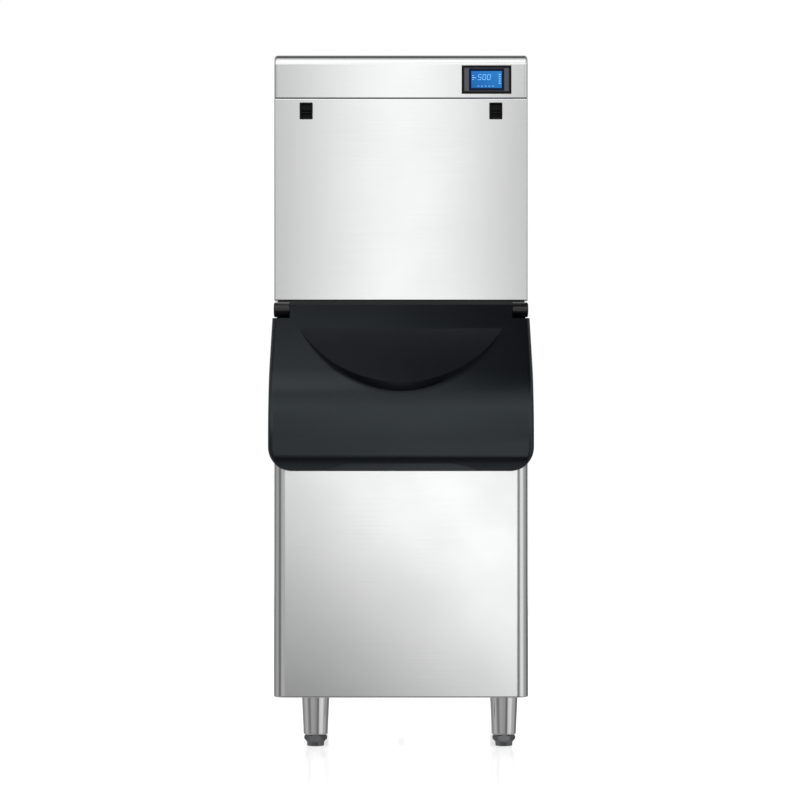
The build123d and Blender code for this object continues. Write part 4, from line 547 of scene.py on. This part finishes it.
class ICEMACHINE_OT_latches(MachineStep, bpy.types.Operator):
    """Two slide latches in the front panel"""
    bl_idname = "icemachine.latches"
    bl_label = "Latches"

    def execute(self, context):
        dress(["latch_bezels", "left_latch_slider", "right_latch_slider"])
        return {"FINISHED"}


# Seven-bar digits: which bars each digit lights, from the top bar clockwise, the middle last
BARS = {
    "0": (0, 1, 2, 3, 4, 5), "1": (1, 2), "2": (0, 1, 6, 4, 3), "3": (0, 1, 6, 2, 3),
    "4": (5, 6, 1, 2), "5": (0, 5, 6, 2, 3), "6": (0, 5, 6, 4, 3, 2), "7": (0, 1, 2),
    "8": (0, 1, 2, 3, 4, 5, 6), "9": (0, 1, 2, 3, 5, 6),
}
# A digit's width, bar and slant are shares of its height; the pitch is in widths
DIGIT_WIDTH = 0.56
DIGIT_BAR = 0.09
DIGIT_SLANT = 0.12
DIGIT_PITCH = 1.62

# Marks as left, bottom, width and height in shares of the lit window
MARKS = [(0.03, 0.72, 0.05, 0.04), (0.03, 0.60, 0.08, 0.04), (0.03, 0.48, 0.05, 0.04),
         (0.11, 0.58, 0.05, 0.03)]
MARKS += [(0.90, 0.78 - 0.13 * row, 0.06, 0.05) for row in range(5)]
MARKS += [(0.20 + 0.12 * column, 0.10, 0.06, 0.03) for column in range(5)]

# How far the pieces on the screen stand off it, in metres
SEAT = 0.00005
LIT_RISE = 0.0004
BORDER_RISE = 0.0005
FRAME_RISE = 0.0008


class ICEMACHINE_OT_display(MachineStep, bpy.types.Operator):
    """Lit screen with its window frame and digits"""
    bl_idname = "icemachine.display"
    bl_label = "Display"

    def execute(self, context):
        looks = context.scene.icemachine.screen
        dress(["display_bezel", "display_screen"])
        low, high = (Vector(corner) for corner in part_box("display_screen"))
        for name, finish, side, edge, rise in (
            ("window_frame_grey", "window_grey", looks.frame_side, looks.frame_height,
             FRAME_RISE),
            ("window_border_navy", "window_navy", looks.border_side, looks.border_height,
             BORDER_RISE),
        ):
            self.window_ring(name, finish, low, high, side, edge, rise)
            low += Vector((side, 0, edge))
            high -= Vector((side, 0, edge))
        self.digits(looks, low, high)
        self.marks(low, high)
        return {"FINISHED"}

    def window_ring(self, name, finish, low, high, side, edge, rise):
        """A thin ring on the screen, with wide sides and narrow edges above and below."""
        bm = bmesh.new()
        for x0, x1, z0, z1 in (
            (low.x, low.x + side, low.z, high.z), (high.x - side, high.x, low.z, high.z),
            (low.x + side, high.x - side, low.z, low.z + edge),
            (low.x + side, high.x - side, high.z - edge, high.z),
        ):
            add_block(bm, (x0, low.y - rise, z0), (x1, low.y - SEAT, z1))
        bmesh.ops.remove_doubles(bm, verts=bm.verts, dist=WELD)
        add_piece(name, bm, finish, "cabinet")

    def digits(self, looks, low, high):
        """Plain slanted seven-bar digits in the upper left of the lit window."""
        bm = bmesh.new()
        tall = looks.digit_height
        wide = tall * DIGIT_WIDTH
        half_bar = tall * DIGIT_BAR / 2
        top = high.z - looks.digit_top
        middle, foot = top - tall / 2, top - tall
        for place, digit in enumerate(looks.digits):
            left = low.x + looks.digit_left + place * wide * DIGIT_PITCH
            right = left + wide
            spans = (
                (left, right, top, top), (right, right, middle, top),
                (right, right, foot, middle), (left, right, foot, foot),
                (left, left, foot, middle), (left, left, middle, top),
                (left, right, middle, middle),
            )
            for bar in BARS[digit]:
                x0, x1, z0, z1 = spans[bar]
                add_block(bm, (x0 - half_bar, low.y - LIT_RISE, z0 - half_bar),
                          (x1 + half_bar, low.y - SEAT, z1 + half_bar))
        for vert in bm.verts:
            vert.co.x += (vert.co.z - top) * DIGIT_SLANT
        add_piece("screen_digits", bm, "lit_digits", "cabinet")

    def marks(self, low, high):
        """Small lit bars down both sides and along the foot of the window."""
        bm = bmesh.new()
        size = high - low
        for x, z, width, height in MARKS:
            left, foot = low.x + size.x * x, low.z + size.z * z
            add_block(bm, (left, low.y - LIT_RISE, foot),
                      (left + size.x * width, low.y - SEAT, foot + size.z * height))
        add_piece("screen_marks", bm, "lit_digits", "cabinet")


class ICEMACHINE_OT_ice_side(MachineStep, bpy.types.Operator):
    """Evaporator, curtain, trough, pump and electrical box behind the front panel"""
    bl_idname = "icemachine.ice_side"
    bl_label = "Ice making side"

    def execute(self, context):
        dress(["evaporator_plate", "evaporator_frame", "evaporator_coil", "water_curtain",
               "water_trough", "water_distributor", "water_pump", "supply_tube",
               "thickness_probe", "float_valve", "float_arm", "electrical_box"])
        return {"FINISHED"}


class ICEMACHINE_OT_cooling_side(MachineStep, bpy.types.Operator):
    """Compressor, condenser, fan, pipes and the fittings at the back"""
    bl_idname = "icemachine.cooling_side"
    bl_label = "Cooling side"

    def execute(self, context):
        dress(["condenser", "fan_shroud", "fan_blade", "fan_motor", "compressor",
               "compressor_mounts", "filter_drier", "expansion_valve", "hot_gas_valve",
               "discharge_line", "suction_line", "liquid_line", "dump_valve", "water_inlet",
               "power_gland", "bin_drain"])
        return {"FINISHED"}


class ICEMACHINE_OT_legs(MachineStep, bpy.types.Operator):
    """Four round legs with their levelling feet"""
    bl_idname = "icemachine.legs"
    bl_label = "Legs and feet"

    def execute(self, context):
        for corner in ("front_left", "front_right", "rear_left", "rear_right"):
            dress([corner + "_leg", corner + "_foot"])
        return {"FINISHED"}


# Screws' distances from a panel's edges, in metres
ROW_END = 0.03
REAR_EDGE = 0.012
REAR_TOP_END = 0.14
BIN_EDGE = 0.010


class ICEMACHINE_OT_screws(MachineStep, bpy.types.Operator):
    """Small cross-head screws of the rear panel and the bin's back"""
    bl_idname = "icemachine.screws"
    bl_label = "Screws"

    def execute(self, context):
        bm = bmesh.new()
        low, high = (Vector(corner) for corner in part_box("rear_panel"))
        self.side_rows(bm, low, high, count=4, edge=REAR_EDGE, turn=23)
        for x in (low.x + REAR_TOP_END, 0, high.x - REAR_TOP_END):
            add_screw(bm, (x, high.y, high.z - REAR_EDGE), turn=40)
        low, high = (Vector(corner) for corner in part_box("bin_back"))
        self.side_rows(bm, low, high, count=5, edge=BIN_EDGE, turn=17)
        add_piece("panel_screws", bm, "screw_zinc", "cabinet")
        return {"FINISHED"}

    def side_rows(self, bm, low, high, count, edge, turn):
        """Screws down both sides of a panel, each row turned a little further."""
        for row in range(count):
            z = low.z + ROW_END + (high.z - low.z - 2 * ROW_END) * row / (count - 1)
            for x in (low.x + edge, high.x - edge):
                add_screw(bm, (x, high.y, z), turn * row)


# Studio. Lengths are in metres. Bearings are degrees from straight ahead of the front,
# positive to the machine's right. The lists of pairs say (place or direction, brightness).

FLOOR_REACH = 9
FLOOR_LEVEL = -0.0005
FLOOR_GLOW = 0.50
FLOOR_COLOUR = dict(Colour=(0.86, 0.86, 0.86, 1), Scale=1.5, Amount=0.02)
FLOOR_ROUGHNESS = dict(Scale=2.0, Low=0.10, High=0.14)
STUDIO_BACK = 3.5
ROOM_SEEN = 1.02

ROOM_AROUND = (
    (-180, 0.40), (-150, 0.38), (-125, 0.20), (-108, 0.42), (-80, 0.55), (-66, 0.16),
    (-48, 0.16), (-36, 0.62), (-18, 0.62), (0, 0.55), (18, 0.20), (27, 0.22), (36, 1.10),
    (62, 1.10), (76, 0.50), (104, 0.42), (118, 0.12), (140, 0.16), (155, 0.38), (180, 0.40),
)
ROOM_UPWARD = (
    (-1.0, 0.05), (-0.3, 0.08), (0.0, 0.5), (0.2, 1.50), (0.6, 1.45), (0.85, 0.50),
    (1.0, 0.20),
)
ROOM_BEHIND = ((-1.0, 1.0), (-0.6, 1.0), (-0.2, 0.6), (0.35, 0.35), (1.0, 0.3))
# Where the two above take over from the one around
ROOM_STEEP = ((-1.0, 1.0), (-0.3, 1.0), (-0.15, 0.0), (0.08, 0.0), (0.22, 1.0), (1.0, 1.0))
# What the ground adds, and where: beside and behind the machine
GROUND = ((-1.0, 0.45), (-0.3, 0.40), (-0.1, 0.0), (1.0, 0.0))
GROUND_BESIDE = ((-1.0, 0.0), (-0.8, 0.0), (-0.4, 1.0), (1.0, 1.0))

# Cards that face along y: how far ahead of the head's front, half width, bottom and top
HEAD_CARD_AHEAD, HEAD_CARD_SIZE = 2.2, (0.55, 0.85, 2.0)
HEAD_CARD = (
    (-0.46, 0.42), (-0.30, 0.72), (-0.14, 1.12), (0.0, 1.42), (0.14, 1.20), (0.30, 0.76),
    (0.46, 0.42),
)
BIN_CARD_AHEAD, BIN_CARD_SIZE = 5.0, (1.0, -0.7, 0.85)
BIN_CARD_SLANT = 0.93
BIN_CARD = (
    (-1.10, 0.10), (-0.71, 0.22), (-0.50, 0.36), (-0.33, 0.50), (-0.16, 0.70), (0.01, 0.95),
    (0.18, 1.22), (0.35, 1.48), (0.50, 1.62), (0.65, 1.62), (0.80, 1.38), (0.95, 1.12),
)
# The door card hangs over the door. Its reach lies between its distances from the cap and
# from the door, so the cap mirrors the near list and the door the other two.
DOOR_CARD_HEIGHT = 2.1
DOOR_CARD_DEPTH = 1.05
DOOR_CARD_HALF = 1.3
DOOR_CARD_REACH = 1.12
DOOR_CARD_NEAR = ((-1.25, 1.3), (-0.76, 1.35), (-0.55, 1.1), (-0.37, 0.7), (-0.2, 0.35))
DOOR_CARD_AHEAD = (
    (-1.25, 1.45), (-0.90, 1.10), (-0.63, 0.88), (-0.47, 0.66), (-0.38, 0.22), (-0.2, 0.04),
)
DOOR_CARD_SIDEWAYS = (
    (-0.5, 1.0), (-0.12, 1.0), (0.0, 0.80), (0.13, 0.28), (0.24, 0.08), (0.5, 0.02),
)
BACK_CARD_SIZE = (4.0, 0.0, 2.0)
BACK_CARD_UPWARDS = ((0.0, 1.0), (0.6, 1.0), (2.0, 0.42))
BACK_CARD_SIDEWAYS = ((-4.0, 0.42), (-1.2, 1.0), (1.2, 1.0), (4.0, 0.42))

# Lights as name, place, size and share of the key light's power
LIGHTS = (
    ("key_above", (0.6, -1.8, 3.6), 2.6, 1.0),
    ("fill_left", (-3.2, -2.6, 1.6), 2.0, 0.35),
)
LIGHTS_AIM = Vector((0, 0, 0.7))

SENSOR_WIDTH = 36.0
SHIFT_X, SHIFT_Y = -0.00125, 0.0009
CLIP_NEAR, CLIP_FAR = 0.1, 60


def glow_material(name, build):
    """A light-giving surface; build makes the socket of its brightness from the axes."""
    material = bpy.data.materials.new(name)
    material.use_nodes = True
    tree = material.node_tree
    tree.nodes.clear()
    output = tree.nodes.new("ShaderNodeOutputMaterial")
    glow = tree.nodes.new("ShaderNodeEmission")
    axes = axes_of(tree, tree.nodes.new("ShaderNodeTexCoord").outputs["Object"])
    tree.links.new(build(tree, axes), glow.inputs["Strength"])
    tree.links.new(glow.outputs[0], output.inputs["Surface"])
    return material


def card(name, low, high, material):
    """A flat studio card that only reflections see, level or facing along y."""
    low, high = Vector(low), Vector(high)
    size = high - low
    bm = bmesh.new()
    bmesh.ops.create_grid(bm, x_segments=1, y_segments=1, size=0.5)
    if size.y == 0:
        upright = Matrix.Rotation(math.radians(90), 3, "X")
        bmesh.ops.rotate(bm, cent=(0, 0, 0), matrix=upright, verts=bm.verts)
    bmesh.ops.scale(bm, vec=Vector([length or 1.0 for length in size]), verts=bm.verts)
    bmesh.ops.translate(bm, vec=(low + high) / 2, verts=bm.verts)
    mesh = bpy.data.meshes.new(name)
    bm.to_mesh(mesh)
    bm.free()
    piece = bpy.data.objects.new(name, mesh)
    mesh.materials.append(material)
    bpy.context.scene.collection.objects.link(piece)
    piece.visible_camera = False
    piece.visible_shadow = False
    piece.visible_diffuse = False
    piece.visible_transmission = False
    return piece


class ICEMACHINE_OT_studio(MachineStep, bpy.types.Operator):
    """Pale floor, white surroundings, reflection cards, lights and the camera"""
    bl_idname = "icemachine.studio"
    bl_label = "Studio"

    def execute(self, context):
        looks = context.scene.icemachine.studio
        self.surroundings(context)
        self.floor()
        self.cards()
        self.lights(looks)
        self.camera(context, looks)
        return {"FINISHED"}

    def surroundings(self, context):
        """White behind the machine; a softer room with a darker ground in reflections."""
        world = bpy.data.worlds.new("studio_room")
        context.scene.world = world
        world.use_nodes = True
        tree = world.node_tree
        tree.nodes.clear()
        output = tree.nodes.new("ShaderNodeOutputWorld")
        seen = tree.nodes.new("ShaderNodeBackground")
        seen.inputs["Color"].default_value = (1, 1, 1, 1)
        seen.inputs["Strength"].default_value = ROOM_SEEN
        room = tree.nodes.new("ShaderNodeBackground")
        axes = axes_of(tree, tree.nodes.new("ShaderNodeTexCoord").outputs["Generated"])
        bearing = maths(tree, "ARCTAN2", axes["X"], maths(tree, "MULTIPLY", axes["Y"], -1))
        around = ramp(
            tree, bearing, [(math.radians(turn), level) for turn, level in ROOM_AROUND])
        upward = ramp(tree, axes["Z"], ROOM_UPWARD)
        behind = ramp(tree, axes["Y"], ROOM_BEHIND)
        shaded = maths(tree, "MULTIPLY", upward, behind)
        level = blend(tree, ramp(tree, axes["Z"], ROOM_STEEP), around, shaded)
        ground = ramp(tree, axes["Z"], GROUND)
        beside = ramp(tree, axes["Y"], GROUND_BESIDE)
        level = maths(tree, "MULTIPLY_ADD", ground, beside, level)
        tree.links.new(level, room.inputs["Strength"])
        mix = tree.nodes.new("ShaderNodeMixShader")
        ray = tree.nodes.new("ShaderNodeLightPath")
        tree.links.new(ray.outputs["Is Camera Ray"], mix.inputs[0])
        tree.links.new(room.outputs[0], mix.inputs[1])
        tree.links.new(seen.outputs[0], mix.inputs[2])
        tree.links.new(mix.outputs[0], output.inputs["Surface"])

    def floor(self):
        """Pale glossy floor that the legs mirror in faintly."""
        material, tree, shader, place = new_material("pale_floor")
        tint = place_group(tree, TINT, place, **FLOOR_COLOUR)
        tree.links.new(tint, shader.inputs["Base Color"])
        cloud = place_group(tree, CLOUDS, place, **FLOOR_ROUGHNESS)
        tree.links.new(cloud, shader.inputs["Roughness"])
        shader.inputs["Emission Color"].default_value = (1, 1, 1, 1)
        shader.inputs["Emission Strength"].default_value = FLOOR_GLOW
        piece = card("studio_floor", (-FLOOR_REACH, -FLOOR_REACH, FLOOR_LEVEL),
                     (FLOOR_REACH, STUDIO_BACK, FLOOR_LEVEL), material)
        piece.visible_camera = True
        piece.visible_shadow = True
        piece.visible_diffuse = True
        piece.visible_glossy = False

    def cards(self):
        """Cards that the fronts and the floor mirror."""
        def head_level(tree, axes):
            return ramp(tree, axes["X"], HEAD_CARD)

        def bin_level(tree, axes):
            slant = maths(tree, "MULTIPLY_ADD", axes["X"], BIN_CARD_SLANT, axes["Z"])
            return ramp(tree, slant, BIN_CARD)

        def door_level(tree, axes):
            ahead = ramp(tree, axes["Y"], DOOR_CARD_AHEAD)
            sideways = ramp(tree, axes["X"], DOOR_CARD_SIDEWAYS)
            far = maths(tree, "MULTIPLY", ahead, sideways)
            near = ramp(tree, axes["Y"], DOOR_CARD_NEAR)
            length = tree.nodes.new("ShaderNodeLightPath").outputs["Ray Length"]
            return blend(
                tree, maths(tree, "GREATER_THAN", length, DOOR_CARD_REACH), near, far)

        def back_level(tree, axes):
            upwards = ramp(tree, axes["Z"], BACK_CARD_UPWARDS)
            sideways = ramp(tree, axes["X"], BACK_CARD_SIDEWAYS)
            return maths(tree, "MULTIPLY", upwards, sideways)

        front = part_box("front_panel")[0][1]
        for name, y, (half, bottom, top), build in (
            ("head_card", front - HEAD_CARD_AHEAD, HEAD_CARD_SIZE, head_level),
            ("bin_card", front - BIN_CARD_AHEAD, BIN_CARD_SIZE, bin_level),
            ("back_card", STUDIO_BACK, BACK_CARD_SIZE, back_level),
        ):
            card(name, (-half, y, bottom), (half, y, top), glow_material(name + "_glow", build))
        card("door_card", (-DOOR_CARD_HALF, front - DOOR_CARD_DEPTH, DOOR_CARD_HEIGHT),
             (DOOR_CARD_HALF, front, DOOR_CARD_HEIGHT),
             glow_material("door_card_glow", door_level))

    def lights(self, looks):
        """One large soft light above and one weaker from the front left."""
        for name, place, size, share in LIGHTS:
            data = bpy.data.lights.new(name, "AREA")
            data.size = size
            data.energy = looks.key * share
            light = bpy.data.objects.new(name, data)
            light.location = place
            aim = LIGHTS_AIM - Vector(place)
            light.rotation_euler = aim.to_track_quat("-Z", "Y").to_euler()
            light.visible_camera = False
            light.visible_glossy = False
            bpy.context.scene.collection.objects.link(light)

    def camera(self, context, looks):
        """Long lens straight ahead of the front, as the photograph has it."""
        data = bpy.data.cameras.new("studio_camera")
        data.lens = looks.lens
        data.sensor_width = SENSOR_WIDTH
        data.shift_x, data.shift_y = SHIFT_X, SHIFT_Y
        data.clip_start, data.clip_end = CLIP_NEAR, CLIP_FAR
        camera = bpy.data.objects.new("studio_camera", data)
        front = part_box("front_panel")[0][1]
        camera.location = (0.0, front - looks.distance, looks.height)
        camera.rotation_euler = (math.radians(90), 0, 0)
        context.scene.collection.objects.link(camera)
        context.scene.camera = camera
        context.scene.view_settings.view_transform = "Standard"


# Registration

STEPS = (
    ICEMACHINE_OT_casing, ICEMACHINE_OT_door, ICEMACHINE_OT_latches, ICEMACHINE_OT_display,
    ICEMACHINE_OT_ice_side, ICEMACHINE_OT_cooling_side, ICEMACHINE_OT_legs,
    ICEMACHINE_OT_screws, ICEMACHINE_OT_studio,
)


class MachineLooks(bpy.types.PropertyGroup):
    steel: bpy.props.PointerProperty(
        name="Steel", description="Casing finish", type=SteelLooks)
    door: bpy.props.PointerProperty(
        name="Door", description="Door finish", type=DoorLooks)
    screen: bpy.props.PointerProperty(
        name="Screen", description="Display", type=ScreenLooks)
    studio: bpy.props.PointerProperty(
        name="Studio", description="Camera and lights", type=StudioLooks)


class ICEMACHINE_PT_panel(bpy.types.Panel):
    """Sidebar list of the machine's steps and sizes"""
    bl_idname = "ICEMACHINE_PT_panel"
    bl_label = "Ice machine"
    bl_space_type = "VIEW_3D"
    bl_region_type = "UI"
    bl_category = "Ice machine"

    def draw(self, context):
        looks = context.scene.icemachine
        for group in (looks.steel, looks.door, looks.screen, looks.studio):
            box = self.layout.box()
            for label in group.__annotations__:
                box.prop(group, label)
        for step in STEPS:
            self.layout.operator(step.bl_idname)


CLASSES = (SteelLooks, DoorLooks, ScreenLooks, StudioLooks, MachineLooks, *STEPS,
           ICEMACHINE_PT_panel)


def register():
    for entry in CLASSES:
        bpy.utils.register_class(entry)
    bpy.types.Scene.icemachine = bpy.props.PointerProperty(type=MachineLooks)


def unregister():
    del bpy.types.Scene.icemachine
    for entry in reversed(CLASSES):
        bpy.utils.unregister_class(entry)


def main():
    register()
    make_materials(bpy.context.scene.icemachine)
    bpy.ops.icemachine.casing()
    bpy.ops.icemachine.door()
    bpy.ops.icemachine.latches()
    bpy.ops.icemachine.display()
    bpy.ops.icemachine.ice_side()
    bpy.ops.icemachine.cooling_side()
    bpy.ops.icemachine.legs()
    bpy.ops.icemachine.screws()
    bpy.ops.icemachine.studio()


if __name__ == "__main__":
    main()
